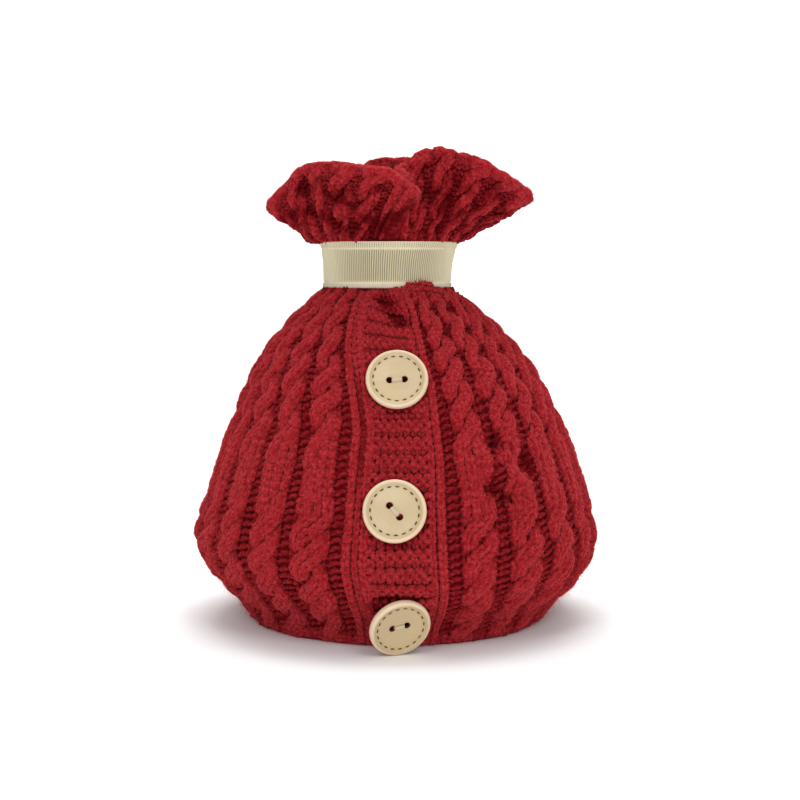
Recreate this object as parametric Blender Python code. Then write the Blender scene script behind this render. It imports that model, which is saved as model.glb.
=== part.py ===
"""A tea cosy: a cable-knit cover with a drawn-in neck and a frill, an elastic band round
the neck and three sewn-on wooden buttons.  It stands on its hem, with the buttons
facing -Y, the spout slot at -X and the handle slot at +X.

All sizes are in millimetres.  The knitting is laid out in stitches (u, counted from the
middle of the button panel, positive towards +X) and rows (v, counted from the hem)."""
import math

import bmesh
import bpy
import numpy as np
from mathutils import Matrix, Vector

MM = 0.001                   # Blender works in metres
AXIS = (0.54, 1.33, 0.0)     # the pot's axis, placed so that the part's box is centred

# ---- the knitting pattern: stitches and rows
CABLE_STITCHES = 4
GUTTER_STITCHES = 2
PERIOD = CABLE_STITCHES + GUTTER_STITCHES
CABLES = 22
PANEL_HALF = 5.5             # the button panel is 11 stitches wide
HALF_ROUND = PANEL_HALF + (CABLES * PERIOD + GUTTER_STITCHES) / 2
CROSSING_ROWS = 4            # a cable crosses over every fourth row
BODY_ROWS = 52
BAND_ROWS = 6
FRILL_ROWS = 12
BAND_TOP_ROW = BODY_ROWS + BAND_ROWS
TOP_ROW = BAND_TOP_ROW + FRILL_ROWS
# ---- where the crossings are at their highest: up to which row, the first such row
CREST_ROWS = [(23.5, 2.0), (54.0, 29.0), (70.0, 56.0)]
# ---- how much the cables cross, by row: they run plain at the height of the slots
CROSSED = [(19.0, 1.0), (21.0, 0.0), (26.0, 0.0), (28.0, 1.0)]
ROPE_LEAN = 0.42             # how far a strand climbs across a cable, in crossings
ROPE_DEPTH = 0.28            # share of a cable's height that its crossings rise and fall
CABLE_ROUND = 0.6            # 1 is a plain arch, less is fuller towards its sides

# ---- the cloth over the cables, from the hem to the neck: height, radius, lean in X
BODY = [
    (0.0, 75.0, 0.5),
    (8.0, 79.4, 0.9),
    (18.0, 89.0, 1.1),
    (30.0, 98.0, 0.5),
    (41.0, 101.0, -0.5),
    (56.0, 98.0, -0.3),
    (76.0, 92.2, 0.0),
    (100.0, 83.4, 0.2),
    (121.0, 73.5, -0.9),
    (140.0, 59.4, -3.0),
    (152.0, 47.4, -3.6),
    (159.5, 38.6, -4.3),
    (163.0, 33.4, -4.6),
    (164.0, 29.8, -4.7),
]

# ---- the gathered cloth under the band: height, radius, lean in X
NECK = [
    (164.0, 29.8, -4.7),
    (175.5, 30.4, -4.4),
    (187.4, 32.2, -3.6),
]

# ---- the frill's rim: x, y, z, from the left tip past the front to the right tip
FRONT_RIM = [
    (-66.2, 0.0, 202.8),
    (-63.4, -8.0, 206.2),
    (-56.2, -16.0, 212.0),
    (-46.6, -26.0, 220.5),
    (-36.1, -36.0, 222.8),
    (-24.5, -43.0, 221.4),
    (-15.0, -48.0, 219.8),
    (-4.9, -51.0, 218.0),
    (3.5, -51.0, 214.8),
    (9.8, -47.0, 212.0),
    (11.6, -41.0, 211.5),
    (7.6, -35.0, 215.5),
    (4.2, -29.0, 221.0),
    (6.4, -23.0, 227.0),
    (11.6, -22.5, 231.2),
    (19.0, -27.0, 231.9),
    (30.4, -30.0, 228.0),
    (40.5, -28.0, 224.7),
    (49.5, -22.0, 219.6),
    (58.5, -15.0, 214.6),
    (65.6, -8.5, 210.2),
]
# ---- and from the right tip past the back to the left tip
BACK_RIM = [
    (68.2, 0.0, 207.2),
    (66.0, 9.0, 207.0),
    (61.0, 16.0, 210.2),
    (53.0, 22.0, 217.0),
    (43.0, 28.0, 223.0),
    (34.0, 38.0, 226.0),
    (23.0, 41.0, 229.0),
    (12.0, 35.0, 231.0),
    (-1.5, 32.0, 232.6),
    (-13.0, 38.0, 229.4),
    (-25.0, 41.0, 226.8),
    (-35.0, 34.0, 226.0),
    (-45.0, 29.0, 221.0),
    (-54.5, 24.0, 214.0),
    (-61.5, 16.0, 206.6),
    (-65.4, 8.0, 203.4),
]
FRILL_BULGE = 5.0            # how far the frill swells out half-way up

# ---- the cloth's make-up by row: cable height, depth of the ground, wall behind it
CLOTH = [
    (0.0, 3.4, 3.4, 2.2),
    (4.0, 4.2, 4.2, 2.2),
    (44.0, 4.2, 4.2, 2.2),
    (49.0, 3.6, 3.6, 3.6),
    (51.0, 2.0, 2.0, 5.0),
    (52.0, 0.0, 0.0, 5.6),
    (58.0, 0.0, 0.0, 5.6),
    (60.0, 2.0, 1.1, 3.4),
    (64.0, 3.2, 1.7, 2.4),
    (70.0, 3.0, 1.7, 2.6),
]
# ---- a fold across two cables: its ends as stitch and row, half its width, height
FOLD = ((10.0, 26.8), (18.8, 21.3), 1.25, 2.1)
# ---- how wide the stitches lie towards the neck: panel, cable, gutter, twist in degrees
GATHER = [
    (0.0, 1.0, 1.0, 1.0, 0.0),
    (30.0, 1.0, 1.0, 1.0, 0.0),
    (46.0, 1.3, 1.0, 0.62, -3.5),
    (52.0, 1.3, 1.0, 0.62, -3.0),
    (58.0, 1.0, 1.0, 1.0, 0.0),
]
# ---- the button panel: stitch, share of the cable height; the dip is the overlap's edge
PANEL = [
    (-5.5, 0.10),
    (-5.0, 0.52),
    (-3.9, 0.55),
    (-3.45, 0.12),
    (-3.0, 0.74),
    (3.4, 0.74),
    (5.0, 0.68),
    (5.5, 0.10),
]
PANEL_RIDGE = 0.10           # share by which every second row of the panel stands up
PANEL_RIDGED = (-3.1, 3.5)   # the stitches that these rows run between
# ---- the mesh's columns in the panel: stitch, whether the inside shares it
PANEL_COLUMNS = [
    (-5.0, True),
    (-3.9, False),
    (-3.45, True),
    (-3.0, False),
    (0.0, True),
    (3.4, False),
    (5.0, True),
]

# ---- the slots: stitch of the slit, first and last row, half its width
SLOT_STITCH = PANEL_HALF + 5 * PERIOD + 1
SPOUT_SLOT = (-SLOT_STITCH, 16.0, 36.0, 14.5)
HANDLE_SLOT = (SLOT_STITCH, 16.0, 40.0, 9.5)
SLOTS = (SPOUT_SLOT, HANDLE_SLOT)
SLOT_REACH = 9.0             # stitches over which a slot pushes the cloth aside
SLOT_ROUND = 0.65            # 1 is a plain lens, less is fuller towards its ends
SLOT_LIP = 0.35              # stitches from the slit to the edge on either side

# ---- the mesh of the cloth
NEAR = 0.3                   # stitches and rows over which a direction is measured
STEP_ROWS = CROSSING_ROWS / 3
INNER_EVERY = 3              # one inner row to three outer rows
STRAND_OFFSET = 1.3          # stitches from a cable's crest to its side columns

# ---- the band, its weave left out: height, radius on the outside, from the bottom up
BAND = [
    (164.5, 31.3),
    (165.0, 31.8),
    (166.5, 31.9),
    (167.3, 31.6),
    (175.0, 32.1),
    (182.6, 33.3),
    (183.4, 33.2),
    (184.2, 33.8),
    (186.4, 34.3),
    (186.9, 33.9),
]
BAND_CLEARANCE = 0.45        # from the gathered cloth
BAND_INNER = (186.5, 181.0, 175.5, 170.0, 164.9)
BAND_SEGMENTS = 60

# ---- the buttons, turned: height over the back, radius
BUTTON_RADIUS = 14.3
BUTTON_THICKNESS = 3.6
BUTTON_PROFILE = [
    (0.0, 0.0),
    (0.0, BUTTON_RADIUS - 0.9),
    (0.8, BUTTON_RADIUS),
    (2.7, BUTTON_RADIUS),
    (BUTTON_THICKNESS, BUTTON_RADIUS - 0.9),
    (BUTTON_THICKNESS, BUTTON_RADIUS - 1.7),
    (2.9, BUTTON_RADIUS - 2.8),
    (2.3, 5.5),
    (2.2, 0.0),
]
BUTTON_SEGMENTS = 28
HOLE_RADIUS = 1.5
HOLE_OFFSET = 3.4            # from the middle of the button
SEAT_GAP = 0.3               # between a button or its thread and the cloth
BUTTON_MARGIN = 0.3          # round a button's rim
BEHIND_BUTTONS = (9.0, 44.0)     # stitches to each side and rows of cloth behind them
# ---- name, middle of the face in x and z, tilt up, turn to +X, angle of the hole line
BUTTONS = [
    ("top", 0.45, 124.7, 26.5, 1.0, 4.0),
    ("middle", -0.6, 67.3, 16.0, 0.0, -49.0),
    ("bottom", 2.35, 13.0, -22.5, 19.5, 10.5),
]
DRILL_PROFILE = [
    (-2.0, 0.0),
    (-2.0, HOLE_RADIUS),
    (6.0, HOLE_RADIUS),
    (6.0, 0.0),
]
DRILL_SEGMENTS = 12
THREAD_RADIUS = 0.7
THREAD_RISE = 0.35           # clear of the button's face
THREAD_BEND = 1.3            # the radius of its bend over a hole's edge
THREAD_BEND_STEPS = 4


# ---------------------------------------------------------------- curves and the cloth
def spline(rows, closed=False, samples=600):
    """Dense points of a smooth curve through the rows, and the share of its length."""
    knots = np.array(rows, float)
    if closed:
        knots = np.vstack([knots, knots[:1]])
    chord = np.linalg.norm(np.diff(knots, axis=0), axis=1)
    place = np.concatenate([[0.0], np.cumsum(chord)])
    slope = np.gradient(knots, place, axis=0)
    if closed:
        slope[[0, -1]] = (knots[1] - knots[-2]) / (chord[0] + chord[-1])
    at = np.linspace(0.0, place[-1], samples)
    span = np.clip(np.searchsorted(place, at, side="right") - 1, 0, len(chord) - 1)
    t = ((at - place[span]) / chord[span])[:, None]
    size = chord[span][:, None]
    points = ((1 + 2 * t) * (1 - t) ** 2 * knots[span] + t * (1 - t) ** 2 * size * slope[span]
              + t * t * (3 - 2 * t) * knots[span + 1] + t * t * (t - 1) * size * slope[span + 1])
    length = np.concatenate([[0.0], np.cumsum(np.linalg.norm(np.diff(points, axis=0), axis=1))])
    return points, length / length[-1]


def along(curve, share):
    """The curve's columns at a share of its length."""
    points, length = curve
    return [np.interp(share, length, points[:, k]) for k in range(points.shape[1])]


def by_row(table, v):
    """The columns of a table at row v, read between its lines."""
    rows = np.array(table, float)
    return [np.interp(v, rows[:, 0], rows[:, k]) for k in range(1, rows.shape[1])]


BODY_CURVE = spline(BODY)
NECK_CURVE = spline(NECK)
RIM_CURVE = spline(FRONT_RIM + BACK_RIM, closed=True)
RIGHT_TIP = RIM_CURVE[1][np.argmax(RIM_CURVE[0][:, 0])]


def turn(u, v, radius):
    """The angle of stitch u round the pot at row v, 0 at the front."""
    panel, cable, gutter, twist = by_row(GATHER, v)
    past = np.clip(np.abs(u) - PANEL_HALF, 0.0, None)
    periods = np.floor(past / PERIOD)
    rest = past - periods * PERIOD

    def width(inside, whole, left):
        return (panel * inside + whole * (GUTTER_STITCHES * gutter + CABLE_STITCHES * cable)
                + gutter * np.minimum(left, GUTTER_STITCHES)
                + cable * np.clip(left - GUTTER_STITCHES, 0.0, None))

    half = width(PANEL_HALF, CABLES / 2, 1.0)
    angle = math.pi * np.sign(u) * width(np.minimum(np.abs(u), PANEL_HALF), periods, rest) / half
    angle = angle + np.radians(twist) * np.cos(angle / 2) ** 2
    for slit, first, last, half_width in SLOTS:
        share = np.clip((v - first) / (last - first), 0.0, 1.0)
        side = np.sign(u - slit) * np.exp(-((u - slit) / SLOT_REACH) ** 2)
        angle = angle + side * half_width * np.sin(math.pi * share) ** SLOT_ROUND / radius
    return angle


def surface(u, v):
    """The smooth surface that the cables reach up to, as an array of points."""
    u, v = np.broadcast_arrays(np.asarray(u, float), np.asarray(v, float))
    body = along(BODY_CURVE, v / BODY_ROWS)
    neck = along(NECK_CURVE, (v - BODY_ROWS) / BAND_ROWS)
    height, radius, lean = [np.where(v <= BODY_ROWS, b, n) for b, n in zip(body, neck)]
    angle = turn(u, v, radius)
    across, front = np.sin(angle), -np.cos(angle)
    ring = np.stack([lean + radius * across, radius * front, height], axis=-1)
    round_rim = np.mod(angle + math.pi / 2, 2 * math.pi)
    rim = np.stack(along(RIM_CURVE, np.interp(round_rim, [0, math.pi, 2 * math.pi],
                                              [0, RIGHT_TIP, 1])), axis=-1)
    out = np.stack([across, front, np.zeros_like(across)], axis=-1)
    middle = (ring + rim) / 2 + FRILL_BULGE * out
    rise = np.clip((v - BAND_TOP_ROW) / FRILL_ROWS, 0.0, 1.0)[..., None]
    return (1 - rise) ** 2 * ring + 2 * rise * (1 - rise) * middle + rise ** 2 * rim


def outward(u, v):
    """The surface's outward direction, worked out from its neighbouring points."""
    for slit, *_ in SLOTS:
        beside = slit + np.sign(u - slit) * 2 * NEAR
        u = np.where(np.abs(u - slit) < 2 * NEAR, beside, u)
    low, high = np.clip(v - NEAR, 0, TOP_ROW), np.clip(v + NEAR, 0, TOP_ROW)
    across = surface(u + NEAR, v) - surface(u - NEAR, v)
    normal = np.cross(across, surface(u, high) - surface(u, low))
    return normal / np.linalg.norm(normal, axis=-1, keepdims=True)


def fold(u, v):
    """How far the fold beside the middle button stands up."""
    (u0, v0), (u1, v1), width, height = FOLD
    run, climb = u1 - u0, v1 - v0
    share = np.clip(((u - u0) * run + (v - v0) * climb) / (run ** 2 + climb ** 2), 0.0, 1.0)
    away = np.hypot(u - u0 - share * run, v - v0 - share * climb)
    return height * np.exp(-(away / width) ** 2)


def relief(u, v):
    """How far the knitting stands up over its ground: cables, gutters, panel."""
    height, _, _ = by_row(CLOTH, v)
    past = np.abs(u) - PANEL_HALF
    side = np.sign(u) * (np.mod(past, PERIOD) - GUTTER_STITCHES - CABLE_STITCHES / 2) / 2
    dome = np.clip(1.0 - side ** 2, 0.0, 1.0) ** CABLE_ROUND
    crest = np.select([v < last for last, _ in CREST_ROWS[:-1]],
                      [first for _, first in CREST_ROWS[:-1]], CREST_ROWS[-1][1])
    crossing = np.cos(2 * math.pi * ((v - crest) / CROSSING_ROWS - ROPE_LEAN * side))
    crossed, = by_row(CROSSED, v)
    rope = 1.0 - ROPE_DEPTH * crossed * (1.0 - crossing)
    panel_rows = np.array(PANEL, float)
    ridged = (u > PANEL_RIDGED[0]) & (u < PANEL_RIDGED[1])
    ridge = PANEL_RIDGE * np.cos(math.pi * v / STEP_ROWS) * ridged
    panel = np.interp(u, panel_rows[:, 0], panel_rows[:, 1]) + ridge
    return height * np.where(past > 0, dome * rope, panel) + fold(u, v)


def cloth_point(u, v, lift):
    """A point of the cloth, lifted over its ground.  On the first row the step into the
    cloth is a level one, so that the hem stays flat."""
    _, depth, _ = by_row(CLOTH, v)
    normal = outward(u, v)
    flat = normal * (1.0, 1.0, 0.0)
    flat = flat / np.sum(flat * flat, axis=-1, keepdims=True)
    step = np.where(np.asarray(v)[..., None] <= 0.0, flat, normal)
    return surface(u, v) + (lift - depth)[..., None] * step


def outside(u, v):
    return cloth_point(u, v, relief(u, v))


def inside(u, v):
    _, _, wall = by_row(CLOTH, v)
    return cloth_point(u, v, -wall)


# ---------------------------------------------------------------- the knitted cover
def cloth_columns():
    """All the mesh's columns, from the back round to the back: stitch, whether the
    inside shares it."""
    columns = list(PANEL_COLUMNS)
    for k in range(CABLES // 2 + 1):
        gutter = PANEL_HALF + k * PERIOD + 1
        crest = gutter + 3
        for sign in (-1, 1):
            if gutter == SLOT_STITCH:
                columns += [(sign * (gutter - SLOT_LIP), True), (sign * (gutter + SLOT_LIP), True)]
            elif k < CABLES // 2 or sign > 0:
                columns.append((sign * gutter, True))
            if k < CABLES // 2:
                columns += [(sign * (crest - STRAND_OFFSET), False), (sign * crest, True),
                            (sign * (crest + STRAND_OFFSET), False)]
    return sorted(columns)


def cloth_rows():
    """The mesh's rows, outside and inside; every inner row is an outer one too."""
    body = [k * STEP_ROWS for k in range(round(BODY_ROWS / STEP_ROWS) + 1)]
    frill = [BAND_TOP_ROW + 2.0 * k for k in range(FRILL_ROWS // 2 + 1)]
    inner = body[::INNER_EVERY] + frill[::2]
    return body + [BODY_ROWS + BAND_ROWS / 2] + frill, inner


def stitch_strip(outer, inner, shared, flip):
    """Triangles between a line of outer points and a coarser line of inner points."""
    faces = []
    for k in range(len(inner) - 1):
        first, last = shared[k], shared[k + 1]
        middle = (first + last + 1) // 2
        faces += [(outer[j + 1], outer[j], inner[k]) for j in range(first, middle)]
        faces.append((outer[middle], inner[k], inner[k + 1]))
        faces += [(outer[j + 1], outer[j], inner[k + 1]) for j in range(middle, last)]
    return [face[::-1] for face in faces] if flip else faces


def sheet_faces(faces, grid, holes, flip):
    """Two triangles for each cell of a closed grid, split along the cables' lean."""
    columns = grid.shape[1]
    for r in range(grid.shape[0] - 1):
        for c in range(columns):
            if any(c == hole and first <= r < last for hole, first, last in holes):
                continue
            a, b = int(grid[r, c]), int(grid[r, (c + 1) % columns])
            d, e = int(grid[r + 1, c]), int(grid[r + 1, (c + 1) % columns])
            pair = [(a, b, e), (a, e, d)]
            faces += [tuple(reversed(face)) for face in pair] if flip else pair


def knitted_cover():
    columns = cloth_columns()
    stitches = np.array([u for u, _ in columns])
    shared = [c for c, (_, inner) in enumerate(columns) if inner]
    rows, inner_rows = cloth_rows()
    row_index = [rows.index(v) for v in inner_rows]
    u, v = np.meshgrid(stitches, np.array(rows))
    outer_points = outside(u, v)
    iu, iv = np.meshgrid(stitches[shared], np.array(inner_rows))
    inner_points = inside(iu, iv)
    outer = np.arange(u.size).reshape(u.shape)
    inner = u.size + np.arange(iu.size).reshape(iu.shape)

    outer_holes, inner_holes, faces = [], [], []
    for slit, first, last, _ in SLOTS:
        c = int(np.searchsorted(stitches, slit)) - 1
        r0, r1 = rows.index(first), rows.index(last)
        ic, i0, i1 = shared.index(c), inner_rows.index(first), inner_rows.index(last)
        outer_holes.append((c, r0, r1))
        inner_holes.append((ic, i0, i1))
        steps = [k - r0 for k in row_index[i0:i1 + 1]]
        for side, flip in ((0, False), (1, True)):
            edge = [int(k) for k in outer[r0:r1 + 1, c + side]]
            back = [int(k) for k in inner[i0:i1 + 1, ic + side]]
            faces += stitch_strip(edge, back, steps, flip)
        for r, i, flip in ((r0, i0, False), (r1, i1, True)):
            ends = [int(outer[r, c]), int(outer[r, c + 1])]
            faces += stitch_strip(ends, [int(inner[i, ic]), int(inner[i, ic + 1])], [0, 1], not flip)

    sheet_faces(faces, outer, outer_holes, flip=False)
    sheet_faces(faces, inner, inner_holes, flip=True)
    wrap = shared + [len(columns) + shared[0]]
    for r, i, flip in ((0, 0, False), (len(rows) - 1, len(inner_rows) - 1, True)):
        line = [int(outer[r, k % len(columns)]) for k in range(len(columns) + shared[0] + 1)]
        back = [int(inner[i, k % len(shared)]) for k in range(len(shared) + 1)]
        faces += stitch_strip(line, back, wrap, flip)
    points = np.vstack([outer_points.reshape(-1, 3), inner_points.reshape(-1, 3)])
    return mesh_object("knitted_cosy", points + np.array(AXIS), faces)


# ---------------------------------------------------------------- turned pieces, thread
def mesh_object(name, points, faces):
    mesh = bpy.data.meshes.new(name)
    mesh.from_pydata([tuple(p * MM) for p in points], [], faces)
    mesh.validate()
    return link(name, mesh)


def link(name, data):
    piece = bpy.data.objects.new(name, data)
    bpy.context.scene.collection.objects.link(piece)
    return piece


def spun_mesh(name, profile, segments, closed):
    """A mesh turned about Z from (height, radius) points."""
    bm = bmesh.new()
    ring = [bm.verts.new((radius * MM, 0.0, height * MM)) for height, radius in profile]
    edges = [bm.edges.new(pair) for pair in zip(ring, ring[1:])]
    if closed:
        edges.append(bm.edges.new((ring[-1], ring[0])))
    bmesh.ops.spin(bm, geom=ring + edges, cent=(0, 0, 0), axis=(0, 0, 1), angle=2 * math.pi,
                   steps=segments, use_merge=True)
    bmesh.ops.remove_doubles(bm, verts=bm.verts, dist=0.00001)
    bmesh.ops.recalc_face_normals(bm, faces=bm.faces)
    mesh = bpy.data.meshes.new(name)
    bm.to_mesh(mesh)
    bm.free()
    return mesh


def smooth_shaded(piece, degrees):
    piece.data.shade_smooth()
    piece.data.set_sharp_from_angle(angle=math.radians(degrees))


def elastic_band():
    """The woven band, leaning with the neck: its rings are moved sideways in the mesh."""
    neck = np.array(NECK)
    inner = [(height, float(np.interp(height, neck[:, 0], neck[:, 1])) + BAND_CLEARANCE)
             for height in BAND_INNER]
    mesh = spun_mesh("elastic_band", BAND + inner, BAND_SEGMENTS, closed=True)
    for vertex in mesh.vertices:
        lean = np.interp(vertex.co.z / MM, neck[:, 0], neck[:, 2])
        vertex.co.x += (lean + AXIS[0]) * MM
        vertex.co.y += AXIS[1] * MM
    return link("elastic_band", mesh)


def button_frame(x, z, tilt, swing, roll):
    """The button's axes: x along the holes, z out of its face, at the face's middle."""
    tilt, swing, roll = math.radians(tilt), math.radians(swing), math.radians(roll)
    face = Vector((math.sin(swing) * math.cos(tilt), -math.cos(swing) * math.cos(tilt),
                   math.sin(tilt)))
    level = Vector((0, 0, 1)).cross(face).normalized()
    upright = face.cross(level)
    holes = level * math.cos(roll) + upright * math.sin(roll)
    frame = Matrix((holes, face.cross(holes), face)).transposed().to_4x4()
    front = AXIS[1] - np.interp(z, BODY_CURVE[0][:, 0], BODY_CURVE[0][:, 1])
    frame.translation = Vector((x + AXIS[0], front, z))
    return frame


def cloth_under(frame):
    """The front of the cloth as points in a button's own axes."""
    stitches, rows = BEHIND_BUTTONS
    u, v = np.meshgrid(np.linspace(-stitches, stitches, 91), np.linspace(0.0, rows, 221))
    points = outside(u, v).reshape(-1, 3) + np.array(AXIS)
    turned = np.array(frame.to_3x3().transposed())
    return (points - np.array(frame.translation)) @ turned.T


def seated(frame):
    """The button's frame, moved along Y until its back clears the cloth."""
    toward = frame.to_3x3().transposed() @ Vector((0, 1, 0))
    for _ in range(3):
        local = cloth_under(frame)
        near = np.hypot(local[:, 0], local[:, 1]) < BUTTON_RADIUS + BUTTON_MARGIN
        rise = local[near][:, 2].max() + BUTTON_THICKNESS + SEAT_GAP
        frame.translation.y += rise / toward.z
    return frame


def drilled_disc():
    """The turned button with its two holes, as one mesh that the three buttons share."""
    blank = link("blank", spun_mesh("blank", BUTTON_PROFILE, BUTTON_SEGMENTS, closed=False))
    drill = spun_mesh("drill", DRILL_PROFILE, DRILL_SEGMENTS, closed=False)
    cutters = [link("drill_left", drill), link("drill_right", drill)]
    for cutter, side in zip(cutters, (-1, 1)):
        cutter.location.x = side * HOLE_OFFSET * MM
        cut = blank.modifiers.new("Hole", "BOOLEAN")
        cut.operation = "DIFFERENCE"
        cut.object = cutter
    bpy.context.view_layer.update()
    depsgraph = bpy.context.evaluated_depsgraph_get()
    disc = bpy.data.meshes.new_from_object(blank.evaluated_get(depsgraph))
    for used in cutters + [blank]:
        bpy.data.objects.remove(used)
    disc.shade_smooth()
    disc.set_sharp_from_angle(angle=math.radians(30))
    return disc


def placed(frame, data, name, drop=0.0):
    """A piece set in a button's frame, `drop` behind the middle of the face."""
    piece = link(name, data)
    world = frame.copy()
    world.translation = frame.translation * MM
    piece.matrix_world = world @ Matrix.Translation((0.0, 0.0, -drop * MM))
    return piece


def thread_curve(name, frame):
    """The sewing thread: up through one hole, across and down the other."""
    local = cloth_under(frame)
    crown = BUTTON_PROFILE[-1][0] - BUTTON_THICKNESS + THREAD_RISE + THREAD_RADIUS
    shape = []
    for side in (-1, 1):
        near = np.hypot(local[:, 0] - side * HOLE_OFFSET, local[:, 1]) < HOLE_RADIUS
        half = [(side * HOLE_OFFSET, local[near][:, 2].max() + SEAT_GAP)]
        for step in range(THREAD_BEND_STEPS + 1):
            bend = math.pi / 2 * step / THREAD_BEND_STEPS
            half.append((side * (HOLE_OFFSET - THREAD_BEND * (1 - math.cos(bend))),
                         crown - THREAD_BEND * (1 - math.sin(bend))))
        shape += half if side < 0 else half[::-1]
    curve = bpy.data.curves.new(name, "CURVE")
    curve.dimensions = "3D"
    curve.bevel_depth = THREAD_RADIUS * MM
    curve.bevel_resolution = 1
    curve.use_fill_caps = True
    line = curve.splines.new("POLY")
    line.points.add(len(shape) - 1)
    for point, (x, z) in zip(line.points, shape):
        point.co = (x * MM, 0.0, z * MM, 1.0)
    return curve


# ---------------------------------------------------------------- materials and main
def material(name, colour, roughness, metallic=0.0):
    """A Principled material; the colour is given as it shows on a screen."""
    made = bpy.data.materials.new(name)
    made.use_nodes = True
    shader = made.node_tree.nodes["Principled BSDF"]
    linear = [((c + 0.055) / 1.055) ** 2.4 if c > 0.04045 else c / 12.92 for c in colour]
    shader.inputs["Base Color"].default_value = (*linear, 1.0)
    shader.inputs["Roughness"].default_value = roughness
    shader.inputs["Metallic"].default_value = metallic
    return made


def main():
    for old in list(bpy.data.objects):
        bpy.data.objects.remove(old, do_unlink=True)
    yarn = material("red_yarn", (0.66, 0.10, 0.16), 0.9)
    webbing = material("beige_elastic", (0.78, 0.74, 0.62), 0.75)
    wood = material("pale_wood", (0.88, 0.81, 0.63), 0.45)
    cotton = material("cream_thread", (0.90, 0.86, 0.76), 0.8)

    cover = knitted_cover()
    cover.data.materials.append(yarn)
    smooth_shaded(cover, 50)
    band = elastic_band()
    band.data.materials.append(webbing)
    smooth_shaded(band, 40)

    disc = drilled_disc()
    disc.materials.append(wood)
    for name, *place in BUTTONS:
        frame = seated(button_frame(*place))
        placed(frame, disc, "button_" + name, drop=BUTTON_THICKNESS)
        curve = thread_curve("thread_" + name, frame)
        curve.materials.append(cotton)
        placed(frame, curve, "thread_" + name)


main()
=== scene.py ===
"""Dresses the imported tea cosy: its cable knitting stitch by stitch, the stray fibres of the
yarn, the elastic band, the wooden buttons with their thread, and a plain studio.

Sizes are in millimetres, apart from the studio's and the settings', which are in metres.
The knitting is laid out in stitches (u, counted from the middle of the button panel,
positive towards +X) and rows (v, counted from the hem)."""
import math

import bmesh
import bpy
import numpy as np
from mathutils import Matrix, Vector


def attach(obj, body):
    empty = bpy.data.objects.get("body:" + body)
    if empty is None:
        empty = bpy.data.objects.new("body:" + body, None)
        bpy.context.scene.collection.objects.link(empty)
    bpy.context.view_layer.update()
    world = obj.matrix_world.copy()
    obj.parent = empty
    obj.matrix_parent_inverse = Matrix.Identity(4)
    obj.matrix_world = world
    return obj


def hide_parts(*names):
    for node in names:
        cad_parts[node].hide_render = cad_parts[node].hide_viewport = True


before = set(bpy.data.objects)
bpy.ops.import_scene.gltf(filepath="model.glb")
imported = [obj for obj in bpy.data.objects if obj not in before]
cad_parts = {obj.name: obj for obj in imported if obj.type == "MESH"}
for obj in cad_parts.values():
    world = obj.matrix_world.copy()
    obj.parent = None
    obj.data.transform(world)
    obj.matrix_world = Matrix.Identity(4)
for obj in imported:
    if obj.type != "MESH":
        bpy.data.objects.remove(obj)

bl_info = {
    "name": "Cable-knit tea cosy",
    "version": (1, 0, 0),
    "blender": (4, 5, 0),
    "location": "View3D > Sidebar > Tea cosy",
    "description": "Knits a buttoned tea cosy stitch by stitch and sets it in a plain studio",
    "category": "Object",
}

MM = 0.001
AXIS = np.array((0.54, 1.33, 0.0))    # the pot's axis in the frame
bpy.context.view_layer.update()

# ---- the knitting pattern
CABLE_STITCHES = 4
GUTTER_STITCHES = 2
PERIOD = CABLE_STITCHES + GUTTER_STITCHES
CABLES = 22
PANEL_HALF = 5.5             # the button panel is 11 stitches wide
HALF_ROUND = PANEL_HALF + (CABLES * PERIOD + GUTTER_STITCHES) / 2    # stitches to the back
CROSSING_ROWS = 4            # rows that one crossing of a cable takes
# ---- the rows where a crossing starts; of the first and the last only the ends show
CROSSINGS = (-4.0, 0.0, 4.0, 8.0, 12.0, 16.0, 27.0, 31.0, 35.0, 39.0, 43.0, 47.0, 51.0)
PLAIN_ROWS = (20.0, 27.0)    # no cable crosses at the height of the slots
BODY_ROWS = 52
BAND_ROWS = 6
BAND_MIDDLE_ROW = BODY_ROWS + BAND_ROWS / 2
FRILL_ROWS = 12
BAND_TOP_ROW = BODY_ROWS + BAND_ROWS
TOP_ROW = BAND_TOP_ROW + FRILL_ROWS
ROW_HEIGHT = 3.735
STITCH_WIDTH = 4.3           # at the belly

# ---- the cloth over the cables, from the hem to the neck: height, radius, lean in X
BODY = [
    (0.0, 75.0, 0.5), (8.0, 79.4, 0.9), (18.0, 89.0, 1.1), (30.0, 98.0, 0.5),
    (41.0, 101.0, -0.5), (56.0, 98.0, -0.3), (76.0, 92.2, 0.0), (100.0, 83.4, 0.2),
    (121.0, 73.5, -0.9), (140.0, 59.4, -3.0), (152.0, 47.4, -3.6), (159.5, 38.6, -4.3),
    (163.0, 33.4, -4.6), (164.0, 29.8, -4.7),
]
NECK = [(164.0, 29.8, -4.7), (175.5, 30.4, -4.4), (187.4, 32.2, -3.6)]

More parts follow.
